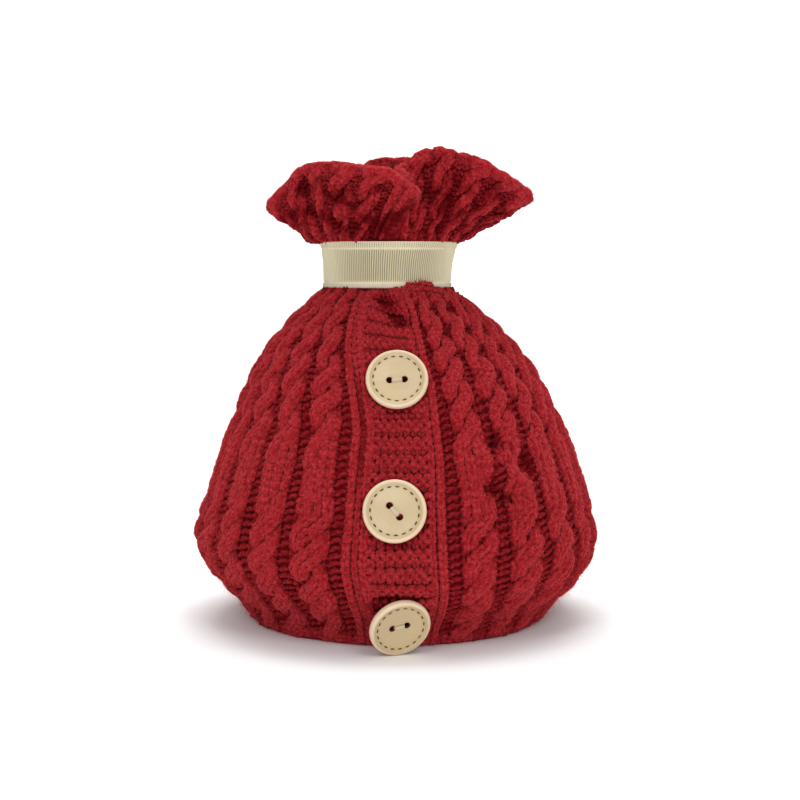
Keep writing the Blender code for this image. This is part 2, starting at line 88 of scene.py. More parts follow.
# ---- the frill's rim: x, y, z, from the left tip past the front to the right tip
FRONT_RIM = [
    (-64.4, 0.0, 203.2), (-62.0, -8.0, 206.4), (-56.2, -16.0, 212.0), (-46.6, -26.0, 220.5),
    (-36.1, -36.0, 222.8), (-24.5, -43.0, 221.4), (-15.0, -48.0, 219.8), (-4.9, -51.0, 218.0),
    (3.2, -51.0, 213.0), (8.8, -47.0, 209.6), (10.4, -41.0, 209.2), (7.0, -35.0, 214.0),
    (4.2, -29.0, 221.0), (6.4, -23.0, 226.4), (11.6, -22.5, 230.0), (19.0, -27.0, 230.8),
    (30.4, -30.0, 228.0), (40.5, -28.0, 224.7), (49.5, -22.0, 219.6), (58.5, -15.0, 214.6),
    (65.6, -8.5, 210.2),
]
BACK_RIM = [
    (68.2, 0.0, 207.2), (66.0, 9.0, 207.0), (61.0, 16.0, 210.2), (53.0, 22.0, 217.0),
    (43.0, 28.0, 223.0), (34.0, 38.0, 226.0), (23.0, 41.0, 229.0), (12.0, 35.0, 229.2),
    (-1.0, 32.0, 229.8), (-7.5, 34.5, 230.2), (-14.0, 38.5, 226.6), (-25.0, 41.0, 224.8),
    (-35.0, 34.0, 226.0), (-45.0, 29.0, 221.0), (-54.5, 24.0, 214.0), (-60.5, 16.0, 207.0),
    (-63.8, 8.0, 203.8),
]
FRILL_BULGE = 5.0            # how far it swells half-way up

# ---- the cloth's make-up by row: cable height, depth of the ground, wall behind it
CLOTH = [
    (0.0, 3.4, 3.4, 2.2), (4.0, 4.2, 4.2, 2.2), (44.0, 4.2, 4.2, 2.2), (49.0, 3.6, 3.6, 3.6),
    (51.0, 2.0, 2.0, 5.0), (52.0, 0.0, 0.0, 5.6), (58.0, 0.0, 0.0, 5.6), (60.0, 2.0, 1.1, 3.4),
    (64.0, 3.2, 1.7, 2.4), (70.0, 3.0, 1.7, 2.6),
]
# ---- how wide the stitches lie towards the neck: panel, cable, gutter, twist in degrees
GATHER = [
    (0.0, 1.0, 1.0, 1.0, 0.0), (30.0, 1.0, 1.0, 1.0, 0.0), (46.0, 1.3, 1.0, 0.62, -3.5),
    (52.0, 1.3, 1.0, 0.62, -3.0), (58.0, 1.0, 1.0, 1.0, 0.0),
]
# ---- the button panel: stitch, lift, slimness and painted shading of its plain columns, then its ridges
PANEL_COLUMNS = [(-5.2, 2.3, 0.85, 0.0), (-4.25, 1.5, 0.7, 0.1), (-3.3, 2.6, 0.9, 0.0),
                 (4.1, 1.9, 0.8, 0.12), (5.15, 2.5, 0.85, 0.0)]
SEAM = (-4.25, 29.5, 7.0, 2.0)    # a column that sinks: stitch, row, rows to each side, depth
RIDGE_STITCHES = (-2.45, 3.7)
RIDGE_PITCH = 2.25
RIDGE_YARNS = ((0.0, 0.0, 2.2), (0.62, 0.5, 2.5))     # row, shift of the heads, lift
RIDGE_DEPTH_ROWS = (12.0, 17.0)  # above these rows the stitches between the ridges lie lower
# ---- the slots: stitch of the slit, first and last row, half its width
SLOT_STITCH = PANEL_HALF + 5 * PERIOD + 1
SPOUT_SLOT = (-SLOT_STITCH, 16.0, 36.0, 14.5)
HANDLE_SLOT = (SLOT_STITCH, 16.0, 40.0, 9.5)
SLOTS = (SPOUT_SLOT, HANDLE_SLOT)
SLOT_REACH = 9.0             # stitches over which a slot pushes the cloth aside
SLOT_ROUND = 0.65            # 1 is a plain lens, less is fuller towards its ends
SLOT_LIP = 0.35              # stitches from the slit to the ground cloth's edge
SLOT_WALES = ((0.75, -0.9), (1.45, 0.3))     # its edging: stitches beside the slit, lift
NEAR = 0.3                   # stitches and rows over which a direction is measured
# ---- the chains along the hem and the cast-off rim: row, lift, thickness, stitches to a link
HEM_CHAIN = (0.45, 0.6, 1.0, 1.0)
RIM_CHAINS = ((TOP_ROW - 0.45, 0.2, 1.7, 2.2), (TOP_ROW - 0.25, -1.7, 1.5, 2.0))
INSIDE_YARNS = 20            # yarns to a row round the frill's inside

# ---- one leg of a knit stitch: place along it, across it, lift, thickness
LEG = [(-0.34, 0.06, -1.05, 0.55), (0.12, 0.20, -0.08, 0.95), (0.66, 0.31, -0.15, 1.0),
       (1.12, 0.22, -1.15, 0.55)]
# ---- a strand on its way over the cable: share of the crossing, lift as a share of the
# ---- cable's height, width as a share of its usual one
STRAND = [
    (-0.32, 0.12, 0.64), (-0.16, 0.42, 0.76), (0.05, 0.76, 0.92), (0.28, 0.95, 1.08),
    (0.50, 1.0, 1.14), (0.72, 0.95, 1.08), (0.95, 0.76, 0.92), (1.16, 0.42, 0.76),
    (1.32, 0.12, 0.64),
]
STRAND_START, STRAND_END = -0.30, 1.30
STRAND_STITCHES = 7
STRAND_SWAY = 0.42           # share of a crossing in which a strand swings half-way
STRAND_SWING = 1.22          # stitches to each side of the cable's middle
STRAND_BOW = 0.62            # how round a strand is across
STRAND_WIDE = 1.06           # stitches between its two wales
STRAND_RISE = 1.15           # how far it stands up, as a share of the cable's height
STRAND_RELIEF = 0.45         # of a plain stitch's relief along it
STRAND_LEAST = 1.6           # the least height in mm that a strand is given
FLUSH = (0.35, 0.65)         # shares of a crossing where a strand that runs on straight is held
FREE = 9.0                   # a share that no strand reaches, so that it isn't held
# ---- the four wales of a cable between its crossings: stitches beside its middle, first and
# ---- last row from PLAIN_ROWS, lift.  The left pair rises out from behind the last crossing,
# ---- and the right pair dives behind the next one
PLAIN_WALES = [(-1.5, -1.6, -1.3, 1.9), (-0.5, -1.6, -1.3, 3.2), (0.5, 1.2, 2.7, 3.2),
               (1.5, 1.2, 2.7, 1.9)]
WALE_PITCH = 1.04

# ---- hollows and humps of the bunched cloth: stitch, row, stitches and rows across, rise
HUMPS = [
    (2.8, 46.6, 2.1, 1.5, -5.0), (0.2, 49.6, 2.4, 1.7, -4.8), (5.6, 47.6, 1.8, 2.2, 1.8),
    (-1.8, 48.2, 1.6, 1.6, 1.0), (-4.6, 47.5, 1.2, 3.0, 0.9), (-9.5, 49.0, 1.5, 1.5, 1.0),
    (14.0, 44.0, 2.0, 2.0, 0.8), (11.0, 22.6, 1.0, 1.2, -4.2), (13.9, 21.0, 1.4, 0.9, -4.2),
    (13.7, 28.2, 1.1, 1.1, -4.2), (17.0, 25.2, 1.3, 1.4, -4.8), (-4.4, 60.4, 2.2, 2.4, -3.8),
    (-1.8, 63.8, 2.6, 1.7, -3.4), (-8.2, 60.8, 1.4, 1.4, -3.0), (8.5, 68.4, 1.8, 1.2, -2.4),
    (17.4, 63.0, 1.4, 2.4, -2.2), (16.6, 59.8, 1.3, 1.2, -2.2), (27.0, 67.4, 1.6, 1.3, -2.0),
    (-25.0, 67.2, 1.9, 1.6, -2.8), (-15.6, 64.4, 1.4, 1.6, -2.6), (34.0, 62.5, 1.6, 1.6, -1.8),
    (-35.0, 60.2, 9.0, 1.5, 3.4), (34.0, 59.8, 7.0, 1.3, 1.8),
]
# ---- where the cloth is pushed up over the band's lower edge: stitch, half its width, rise
OVER_BAND = [(12.4, 3.5, 3.2), (6.2, 3.7, 1.9)]
OVER_BAND_ROWS = (52.6, 1.9)     # where it is pushed most, and how far down that reaches
OVER_BAND_PUSH = (0.85, 0.5)     # shares of the rise that go outward and upward
LIP_ROWS = [(1.0, 18.8, 51.1, 2.0), (1.5, 16.6, 51.6, 2.0)]    # its yarns: stitches, row, lift
# ---- a fold across two cables: its ends as stitch and row, half its width, rise
FOLD = ((10.3, 26.2), (15.8, 22.2), 0.9, 4.0)
SLANT = 0.17                 # rows by which a stitch of the panel drops near the neck
SLANT_ROWS = (38.0, 45.0, 49.5, 52.0)    # where that begins, is full, ends and has faded
TUCK_ROWS = (48.5, 51.5)     # where the cloth beside the panel tucks in under the band
TUCKED = 0.65                # share of its lift that it loses there

# ---- slow unevenness of the whole cloth: times round, rows a wave, phase, size
WAVES = [(3, 31.0, 0.3, 0.9), (7, 19.0, 2.1, 0.8), (11, 13.0, 4.0, 0.7), (17, -23.0, 1.2, 0.7),
         (23, 9.0, 5.2, 0.5), (31, -11.0, 3.3, 0.4)]
WAVE_SHIFT = (0.30, 0.35)    # stitches and rows by which it shifts the cloth
FRILL_LUMPS = (0.45, 0.75)   # share of the waves' lift on the body, and what the frill adds
FRILL_PAINTED_SHADE = (0.46, 0.24, 0.20)   # painted shade over the frill, and how that varies at two sizes
HOLLOW_PAINTED_SHADE = 0.3             # painted shade in a hollow for each mm of its depth
DEEPEST = 1.3

# ---- the elastic band, outside: height, radius, share of the ribs' depth that shows there
BAND = [
    (164.5, 31.2, 0.0), (164.65, 31.65, 0.1), (165.1, 32.0, 0.3), (165.8, 32.15, 0.35),
    (166.5, 32.0, 0.3), (166.9, 31.6, 0.1), (167.2, 31.45, 0.2), (167.6, 31.75, 0.8),
    (168.6, 31.85, 1.0), (171.0, 31.95, 1.0), (173.5, 32.05, 1.0), (176.0, 32.25, 1.0),
    (178.5, 32.6, 1.0), (181.0, 33.05, 1.0), (182.6, 33.35, 1.0), (183.0, 33.35, 0.7),
    (183.3, 33.1, 0.2), (183.6, 33.3, 0.2), (184.2, 33.8, 0.7), (185.4, 34.1, 0.8),
    (186.3, 34.25, 0.7), (186.75, 34.1, 0.3), (186.9, 33.7, 0.0),
]
BAND_INSIDE = (186.7, 181.0, 175.5, 170.0, 164.8)
BAND_CLEARANCE = 0.45        # from the gathered cloth
RIB_STEPS = 4                # columns of the mesh for each rib
SELVAGE_TOP = 166.7          # height to which the pale lower selvage reaches

# ---- the buttons: name, place of the face's middle from the pot's axis, tilt up, swing
# ---- towards +X, turn of the line of holes
BUTTONS = [
    ("top", (0.45, -75.459, 124.7), 26.5, 1.0, 4.0),
    ("middle", (-0.6, -98.281, 67.3), 16.0, 0.0, -49.0),
    ("bottom", (2.35, -95.709, 13.0), -22.5, 19.5, 10.5),
]
BUTTON_SHADE = (14.4, 16.0)  # the shade behind a button fades between these radii
BUTTON_SHADE_DEPTH = 14.0
HOLE_OFFSET = 3.4
HOLE_RADIUS = 1.5
AROUND = 96                  # columns of a button's mesh
FACE_RADIUS = 8.0            # where the turned rings give way to the rings round the holes
# ---- a button's turned outline from there, over the rim and round to the back: radius, height
BUTTON_RIM = [
    (8.0, -1.3), (9.5, -1.04), (10.5, -0.84), (11.3, -0.66), (11.7, -0.5), (12.05, -0.2),
    (12.5, -0.03), (12.95, 0.0), (13.45, -0.1), (13.92, -0.42), (14.2, -0.95), (14.3, -1.6),
    (14.3, -2.3), (14.2, -2.8), (13.9, -3.25), (13.4, -3.52), (12.7, -3.6), (8.0, -3.6),
]
BUTTON_DISH = (2.3, 1.0)     # depth at the middle, rise to the face's radius
# ---- by radius: painted shade on the ring inside the rim (above 0), painted highlight on the rim (below)
RIM_PAINTED_SHADING = [(9.5, 0.0), (11.2, 0.5), (12.3, 0.6), (12.9, -0.4), (13.6, -1.0), (14.1, -0.8)]
HOLE_WALL_SHADE = 2.0             # the same measure for the painted shade on the walls of the holes
# ---- from the face's ring to the holes and down through them: share of the way, drop
HOLE_RINGS = [(1.0, 0.0), (0.7, 0.0), (0.4, 0.0), (0.16, 0.0), (0.06, 0.05), (0.0, 0.22)]
HOLE_MIDDLE = -2.6           # height of a ring half-way down a hole
MARK_RADIUS = 10.95          # the ring of burnt dashes
MARK_HEIGHT = -0.70
MARK_WIDTH = 0.8
MARK_TAPER = (0.4, 0.85, 1.0, 1.0, 1.0, 0.85, 0.4)
MARK_FLATNESS = 0.22         # of a dash's thickness to its width
THREAD_SPACING = 0.36
THREAD_RADIUS = 0.62 * THREAD_SPACING    # so that the strands press on each other
# ---- one strand of sewing thread from the middle to a hole's depth: along the holes, height
THREAD = [(0.0, -1.74), (0.9, -1.76), (1.55, -1.82), (1.95, -1.96), (2.2, -2.25), (2.3, -2.6),
          (2.35, -3.45)]

# ---- the studio in metres: the sweep's Y and Z, then the lamps' place, target, size, power
SWEEP = [(-2.5, 0.0), (1.2, 0.0), (1.5, 0.03), (1.75, 0.14), (1.9, 0.32), (1.95, 0.6),
         (1.95, 3.0)]
LAMPS = [
    ("left", (-0.6, -1.45, 1.45), (0.0, 0.0, 0.11), 0.6, 4.9),
    ("right", (0.65, -1.45, 1.35), (0.0, 0.0, 0.11), 0.6, 6.4),
    ("front", (0.1, -1.8, 0.1), (0.0, 0.0, 0.06), 0.8, 12.5),
    ("top", (0.0, 0.1, 1.9), (0.0, 0.0, 0.11), 1.4, 8.0),
    ("backdrop", (0.0, 0.7, 1.9), (0.0, 1.8, 0.5), 1.6, 34.0),
]
FLOOR_HALF = 4.0             # half the sweep's width
WORLD_LIGHT = 0.5
CAMERA_PLACE = (0.00234, -0.79867, 0.17705)
CAMERA_PITCH = 4.93          # degrees down
CAMERA_LENS = 72.0           # on a sensor 36 mm wide

# ---- the meshes
CURVE_POINTS = 600           # samples of a smooth curve
LOWEST = 0.05                # mm over the floor that no yarn goes under
GROUND_DROP = 0.35           # mm from the foot of the stitches down to the ground cloth
YARN_CREST = 0.22            # how much less painted shade a yarn's crest takes than its flanks
BAKE_MARGIN = 0.07           # round each yarn in its cell of the map for baking


# ---------------------------------------------------------------- curves and the cloth
def spline(rows, closed=False):
    """Dense points of a smooth curve through the rows, and the share of its length."""
    knots = np.array(rows, float)
    if closed:
        knots = np.vstack([knots, knots[:1]])
    chord = np.linalg.norm(np.diff(knots, axis=0), axis=1)
    place = np.concatenate([[0.0], np.cumsum(chord)])
    slope = np.gradient(knots, place, axis=0)
    if closed:
        slope[[0, -1]] = (knots[1] - knots[-2]) / (chord[0] + chord[-1])
    at = np.linspace(0.0, place[-1], CURVE_POINTS)
    span = np.clip(np.searchsorted(place, at, side="right") - 1, 0, len(chord) - 1)
    t = ((at - place[span]) / chord[span])[:, None]
    size = chord[span][:, None]
    points = ((1 + 2 * t) * (1 - t) ** 2 * knots[span] + t * (1 - t) ** 2 * size * slope[span]
              + t * t * (3 - 2 * t) * knots[span + 1] + t * t * (t - 1) * size * slope[span + 1])
    length = np.concatenate([[0.0], np.cumsum(np.linalg.norm(np.diff(points, axis=0), axis=1))])
    return points, length / length[-1]


def along(curve, share):
    """The curve's columns at a share of its length."""
    points, length = curve
    return [np.interp(share, length, points[:, k]) for k in range(points.shape[1])]


def by_row(table, v):
    """The columns of a table at row v, read between its lines."""
    rows = np.array(table, float)
    return [np.interp(v, rows[:, 0], rows[:, k]) for k in range(1, rows.shape[1])]


BODY_CURVE = spline(BODY)
NECK_CURVE = spline(NECK)
RIM_CURVE = spline(FRONT_RIM + BACK_RIM, closed=True)
RIGHT_TIP = RIM_CURVE[1][np.argmax(RIM_CURVE[0][:, 0])]


def turn(u, v, radius):
    """The angle of stitch u round the pot at row v, 0 at the front."""
    panel, cable, gutter, twist = by_row(GATHER, v)
    past = np.clip(np.abs(u) - PANEL_HALF, 0.0, None)
    periods = np.floor(past / PERIOD)
    rest = past - periods * PERIOD

    def width(inside, whole, left):
        return (panel * inside + whole * (GUTTER_STITCHES * gutter + CABLE_STITCHES * cable)
                + gutter * np.minimum(left, GUTTER_STITCHES)
                + cable * np.clip(left - GUTTER_STITCHES, 0.0, None))

    half = width(PANEL_HALF, CABLES / 2, 1.0)
    angle = math.pi * np.sign(u) * width(np.minimum(np.abs(u), PANEL_HALF), periods, rest) / half
    angle = angle + np.radians(twist) * np.cos(angle / 2) ** 2
    for slit, first, last, half_width in SLOTS:
        share = np.clip((v - first) / (last - first), 0.0, 1.0)
        side = np.sign(u - slit) * np.exp(-((u - slit) / SLOT_REACH) ** 2)
        angle = angle + side * half_width * np.sin(math.pi * share) ** SLOT_ROUND / radius
    return angle


def surface(u, v):
    """The smooth surface that the cables reach up to, as an array of points."""
    u, v = np.broadcast_arrays(np.asarray(u, float), np.asarray(v, float))
    body = along(BODY_CURVE, v / BODY_ROWS)
    neck = along(NECK_CURVE, (v - BODY_ROWS) / BAND_ROWS)
    height, radius, lean = [np.where(v <= BODY_ROWS, b, n) for b, n in zip(body, neck)]
    angle = turn(u, v, radius)
    across, front = np.sin(angle), -np.cos(angle)
    ring = np.stack([lean + radius * across, radius * front, height], axis=-1)
    round_rim = np.mod(angle + math.pi / 2, 2 * math.pi)
    rim = np.stack(along(RIM_CURVE, np.interp(round_rim, [0, math.pi, 2 * math.pi],
                                              [0, RIGHT_TIP, 1])), axis=-1)
    out = np.stack([across, front, np.zeros_like(across)], axis=-1)
    middle = (ring + rim) / 2 + FRILL_BULGE * out
    rise = np.clip((v - BAND_TOP_ROW) / FRILL_ROWS, 0.0, 1.0)[..., None]
    return (1 - rise) ** 2 * ring + 2 * rise * (1 - rise) * middle + rise ** 2 * rim


def outward(u, v):
    """The surface's outward direction, worked out from its neighbouring points."""
    for slit, *_ in SLOTS:
        beside = slit + np.sign(u - slit) * 2 * NEAR
        u = np.where(np.abs(u - slit) < 2 * NEAR, beside, u)
    low, high = np.clip(v - NEAR, 0, TOP_ROW), np.clip(v + NEAR, 0, TOP_ROW)
    across = surface(u + NEAR, v) - surface(u - NEAR, v)
    normal = np.cross(across, surface(u, high) - surface(u, low))
    return normal / np.linalg.norm(normal, axis=-1, keepdims=True)


def stitch_width(u, v):
    """The width of a stitch in millimetres."""
    return np.linalg.norm(surface(u + 0.5, v) - surface(u - 0.5, v), axis=-1)


def uneven(u, v, start):
    """A slow wave over the cloth, about -1 to 1, alike where the back meets."""
    total = 0.0
    for k, (round_times, rows, phase, size) in enumerate(WAVES):
        turned = 2 * math.pi * (round_times * u / (2 * HALF_ROUND) + v / rows)
        total = total + size * np.sin(turned + phase + start * (k + 1))
    return total / 2.0


def smooth(value, low, high):
    """A soft step from 0 at low to 1 at high."""
    t = np.clip((value - low) / (high - low), 0.0, 1.0)
    return t * t * (3 - 2 * t)


def humps(u, v):
    """How far the bunched cloth and its fold stand out, in millimetres."""
    total = np.zeros(np.shape(u))
    for stitch, row, wide, high, rise in HUMPS:
        total = total + rise * np.exp(-((u - stitch) / wide) ** 2 - ((v - row) / high) ** 2)
    (u0, v0), (u1, v1), width, rise = FOLD
    share = np.clip(((u - u0) * (u1 - u0) + (v - v0) * (v1 - v0))
                    / ((u1 - u0) ** 2 + (v1 - v0) ** 2), 0.0, 1.0)
    away = np.hypot(u - u0 - share * (u1 - u0), v - v0 - share * (v1 - v0))
    return total + rise * np.exp(-(away / width) ** 2)


def behind_buttons(points):
    """1 in the shade behind a button, falling to 0 just past its rim."""
    shade = np.zeros(points.shape[:-1])
    for _, place, *turns in BUTTONS:
        local = (points - place) @ button_axes(*turns).T
        beside = 1.0 - smooth(np.hypot(local[..., 0], local[..., 1]), *BUTTON_SHADE)
        shade = np.maximum(shade, beside * (np.abs(local[..., 2]) < BUTTON_SHADE_DEPTH))
    return shade


def shaded(u, v, deep, points):
    """The depth of yarns, with painted shade added in the hollows, over the frill and behind the
    buttons.
    """
    usual, slow, quick = FRILL_PAINTED_SHADE
    # painted shade over the frill in slow and quick patches, less of it towards the rim
    varied = usual + slow * uneven(u, 3.0 * v, 4.0) + quick * uneven(2.0 * u, 6.0 * v, 7.0)
    frill = smooth(v, BAND_TOP_ROW - 1, BAND_TOP_ROW) * varied
    frill = frill * (1.0 - 0.7 * smooth(v, TOP_ROW - 5, TOP_ROW))
    deep = deep + behind_buttons(points) + frill - HOLLOW_PAINTED_SHADE * np.minimum(humps(u, v), 0.0)
    return np.clip(deep, 0.0, DEEPEST)


def lay(u, v, lift):
    """Points of the cloth at a lift over its ground, and their outward directions."""
    u, v, lift = np.broadcast_arrays(u, v, lift)
    _, depth, _ = by_row(CLOTH, v)
    # the waves are held back near the band, in the panel, beside the slots and at the edges
    loose = 1.0 - 0.8 * np.exp(-((v - BAND_MIDDLE_ROW) / 5.0) ** 2)
    loose = loose * (0.25 + 0.75 * smooth(np.abs(u), 5.0, 9.0))
    lumpy = FRILL_LUMPS[0] + FRILL_LUMPS[1] * smooth(v, BAND_TOP_ROW, BAND_TOP_ROW + 4)
    lift = lift + lumpy * loose * uneven(u, v, 0.0) + humps(u, v)
    steady = loose * (1.0 - np.exp(-((np.abs(u) - SLOT_STITCH) / 3.0) ** 2))
    ends = np.clip(v / 3, 0, 1) * np.clip((TOP_ROW - v) / 3, 0, 1)
    u, v = (u + WAVE_SHIFT[0] * steady * uneven(u, v, 1.0),
            np.clip(v + WAVE_SHIFT[1] * steady * uneven(u, v, 2.0) * ends, 0.0, TOP_ROW))
    near_neck = smooth(v, *SLANT_ROWS[:2]) * (1.0 - smooth(v, *SLANT_ROWS[2:]))
    v = v - SLANT * np.clip(u, -PANEL_HALF, PANEL_HALF) * near_neck
    tucked = smooth(v, *TUCK_ROWS) * (v < BAND_MIDDLE_ROW) * (1.0 - smooth(np.abs(u), 4.5, 7.0))
    lift = lift * (1.0 - TUCKED * tucked)
    normal = outward(u, v)
    points = surface(u, v) + (lift - depth)[..., None] * normal
    row, high = OVER_BAND_ROWS
    pushed = sum(rise * np.exp(-((u - stitch) / wide) ** 4) for stitch, wide, rise in OVER_BAND)
    pushed = pushed * np.exp(-((v - row) / high) ** 2)
    pushed = pushed * (1.0 - smooth(v, BODY_ROWS, BODY_ROWS + 0.8))
    across = points * (1.0, 1.0, 0.0)
    across = across / np.linalg.norm(across, axis=-1, keepdims=True)
    out, up = OVER_BAND_PUSH
    return points + pushed[..., None] * (out * across + (0.0, 0.0, up)), normal


# ---------------------------------------------------------------- meshes from arrays
def put(name, data, place=(0.0, 0.0, 0.0)):
    """A new object of the scene."""
    made = bpy.data.objects.new(name, data)
    made.location = place
    bpy.context.scene.collection.objects.link(made)
    return made


def placed(name, mesh, material):
    """The object of a mesh that rides with the part."""
    mesh.materials.append(material)
    mesh.shade_smooth()
    piece = put(name, mesh)
    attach(piece, "root")
    return piece


def new_piece(name, points, loops, starts, material):
    """An object of a mesh given as arrays: points in mm, corners face by face."""
    mesh = bpy.data.meshes.new(name)
    mesh.vertices.add(len(points))
    mesh.vertices.foreach_set("co", ((points + AXIS) * MM).astype(np.float32).ravel())
    mesh.loops.add(len(loops))
    mesh.loops.foreach_set("vertex_index", loops.astype(np.int32))
    mesh.polygons.add(len(starts))
    mesh.polygons.foreach_set("loop_start", starts.astype(np.int32))
    mesh.update(calc_edges=True)
    return placed(name, mesh, material)


def add_map(piece, name, places):
    layer = piece.data.uv_layers.new(name=name, do_init=False)
    layer.uv.foreach_set("vector", places.astype(np.float32).ravel())


def add_values(piece, name, values):
    attribute = piece.data.attributes.new(name, "FLOAT", "POINT")
    attribute.data.foreach_set("value", values.astype(np.float32).ravel())


def read(items, key, wide=1, kind=np.float32):
    """A value of every item of a mesh, or a row of them."""
    flat = np.empty(len(items) * wide, kind)
    items.foreach_get(key, flat)
    return flat.reshape(-1, wide) if wide > 1 else flat


def places_of(piece):
    """The piece's points in mm from the pot's axis."""
    return read(piece.data.vertices, "co", 3) / MM - AXIS


def bake_cells(places):
    """Map places of many faces or yarns, each in its own cell of a square."""
    count = len(places)
    grid = math.ceil(math.sqrt(count))
    cell = np.stack(np.divmod(np.arange(count), grid), -1)[:, None]
    return (cell + places) / grid


def corners(grid):
    """The corners of every face of a grid (..., rings, columns), along a new last axis."""
    low, high = grid[..., :-1, :], grid[..., 1:, :]
    return np.stack([low[..., :-1], low[..., 1:], high[..., 1:], high[..., :-1]], -1)


def yarns(name, centres, radius, facing, deep, sides, material, slot="red_yarn",
          roundness=1.0):
    """One mesh of many short yarns.  centres is (yarns, rings, 3), radius and deep are
    (yarns, rings); facing points out of the cloth."""
    count, rings, _ = centres.shape
    tangent = np.gradient(centres, axis=1)
    tangent /= np.linalg.norm(tangent, axis=-1, keepdims=True)
    side = np.cross(tangent, facing)
    side /= np.linalg.norm(side, axis=-1, keepdims=True) + 1e-9
    up = np.cross(side, tangent)
    angle = -math.pi / 2 + 2 * math.pi * np.arange(sides) / sides
    across = np.cos(angle)[:, None] * side[:, :, None]
    over = roundness * np.sin(angle)[:, None] * up[:, :, None]
    points = centres[:, :, None] + radius[..., None, None] * (across + over)
    points[..., 2] = np.maximum(points[..., 2], LOWEST)

    def by_corner(grid):
        """A grid's values corner by corner: those of the sleeve's faces, then of the ends."""
        sleeve = corners(grid)[..., (0, 3, 2, 1)].reshape(count, -1)
        return np.concatenate([sleeve, grid[:, 0, :-1], grid[:, -1, -2::-1]], axis=1)

    index = np.arange(count * rings * sides).reshape(count, rings, sides)
    loops = by_corner(np.concatenate([index, index[..., :1]], axis=2))
    sleeve = 4 * (rings - 1) * sides
    starts = np.concatenate([np.arange(0, sleeve, 4), [sleeve, sleeve + sides]])
    starts = (starts + loops.shape[1] * np.arange(count)[:, None]).ravel()
    piece = new_piece(name, points.reshape(-1, 3), loops.ravel(), starts, material)
    step = np.linalg.norm(np.diff(centres, axis=1), axis=-1)
    length = np.concatenate([np.zeros((count, 1)), np.cumsum(step, axis=1)], axis=1)
    round_and_along = np.broadcast_arrays(np.arange(sides + 1) / sides, length[..., None])
    places = np.stack([by_corner(grid) for grid in round_and_along], -1)
    add_map(piece, "yarn", places)
    filled = (1 - 2 * BAKE_MARGIN) * places / (1.0, length.max())
    add_map(piece, "OFBake", bake_cells(BAKE_MARGIN + filled))
    # painted shade: the flanks of each yarn take more of it than its crest
    add_values(piece, "deep", deep[..., None] - YARN_CREST * np.sin(angle))
    return piece


def quilted(name, grids, material, sharp):
    """One closed solid of quad grids that meet at their borders.  A grid is an array of
    points (rings, columns, 3) with an array of map places (rings, columns, 2)."""
    mesh = bpy.data.meshes.new(name)
    points, faces, places, first = [], [], [], 0
    for grid, chart in grids:
        index = np.arange(first, first + grid[..., 0].size).reshape(grid.shape[:2])
        first += index.size
        points.append(grid.reshape(-1, 3))
        faces.append(corners(index).reshape(-1, 4))
        places.append(chart.reshape(-1, 2))
    points, faces, places = [np.concatenate(a) for a in (points, faces, places)]
    mesh.from_pydata(((points + AXIS) * MM).tolist(), [], faces.tolist())
    layer = mesh.uv_layers.new(name="chart", do_init=False)
    layer.uv.foreach_set("vector", places[faces.ravel()].astype(np.float32).ravel())
    work = bmesh.new()
    work.from_mesh(mesh)
    bmesh.ops.remove_doubles(work, verts=work.verts, dist=0.004 * MM)
    bmesh.ops.recalc_face_normals(work, faces=work.faces)
    work.to_mesh(mesh)
    work.free()
    piece = placed(name, mesh, material)
    mesh.set_sharp_from_angle(angle=math.radians(sharp))
    return piece


# ---------------------------------------------------------------- stitches
def jitter(rng, shape, size):
    return rng.normal(0.0, size, shape)


def joined(parts):
    return [np.concatenate(arrays) for arrays in zip(*parts)]


def crossed(first, second):
    """Every pairing of two lists, as two flat arrays."""
    return [grid.ravel() for grid in np.meshgrid(first, second)]


def apart(rings, *arrays):
    """Arrays that fit each other, each with one row of rings for a yarn."""
    return [a.reshape(-1, rings) for a in np.broadcast_arrays(*arrays)]


def strand_shares():
    """Where the stitches of a strand begin, as shares of a crossing, evenly along it."""
    share = np.linspace(STRAND_START - 0.3, STRAND_END + 0.3, 400)
    swing = np.clip((share - 0.5) / STRAND_SWAY, -1, 1)
    slope = np.where(np.abs(swing) < 1, np.cos(math.pi / 2 * swing) * math.pi / 2 / STRAND_SWAY, 0)
    speed = np.hypot(STRAND_SWING * STITCH_WIDTH * slope, CROSSING_ROWS * ROW_HEIGHT)
    arc = np.concatenate([[0.0], np.cumsum((speed[1:] + speed[:-1]) / 2 * np.diff(share))])
    ends = np.interp([STRAND_START, STRAND_END], share, arc)
    arc = (arc - ends[0]) / (ends[1] - ends[0]) * STRAND_STITCHES
    return arc, share


def yarn_radius(knitting, wide):
    return knitting.yarn_thickness / MM / 2 * np.clip(wide / STITCH_WIDTH, 0.25, 1.1) ** 0.35


def on_axis(values, axis):
    """Values along one axis of a strand's arrays: 0 cable, 1 crossing, 2 wale, 3 stitch,
    4 leg, 5 place along the leg."""
    shape = [1] * 6
    shape[axis] = -1
    return np.reshape(values, shape)


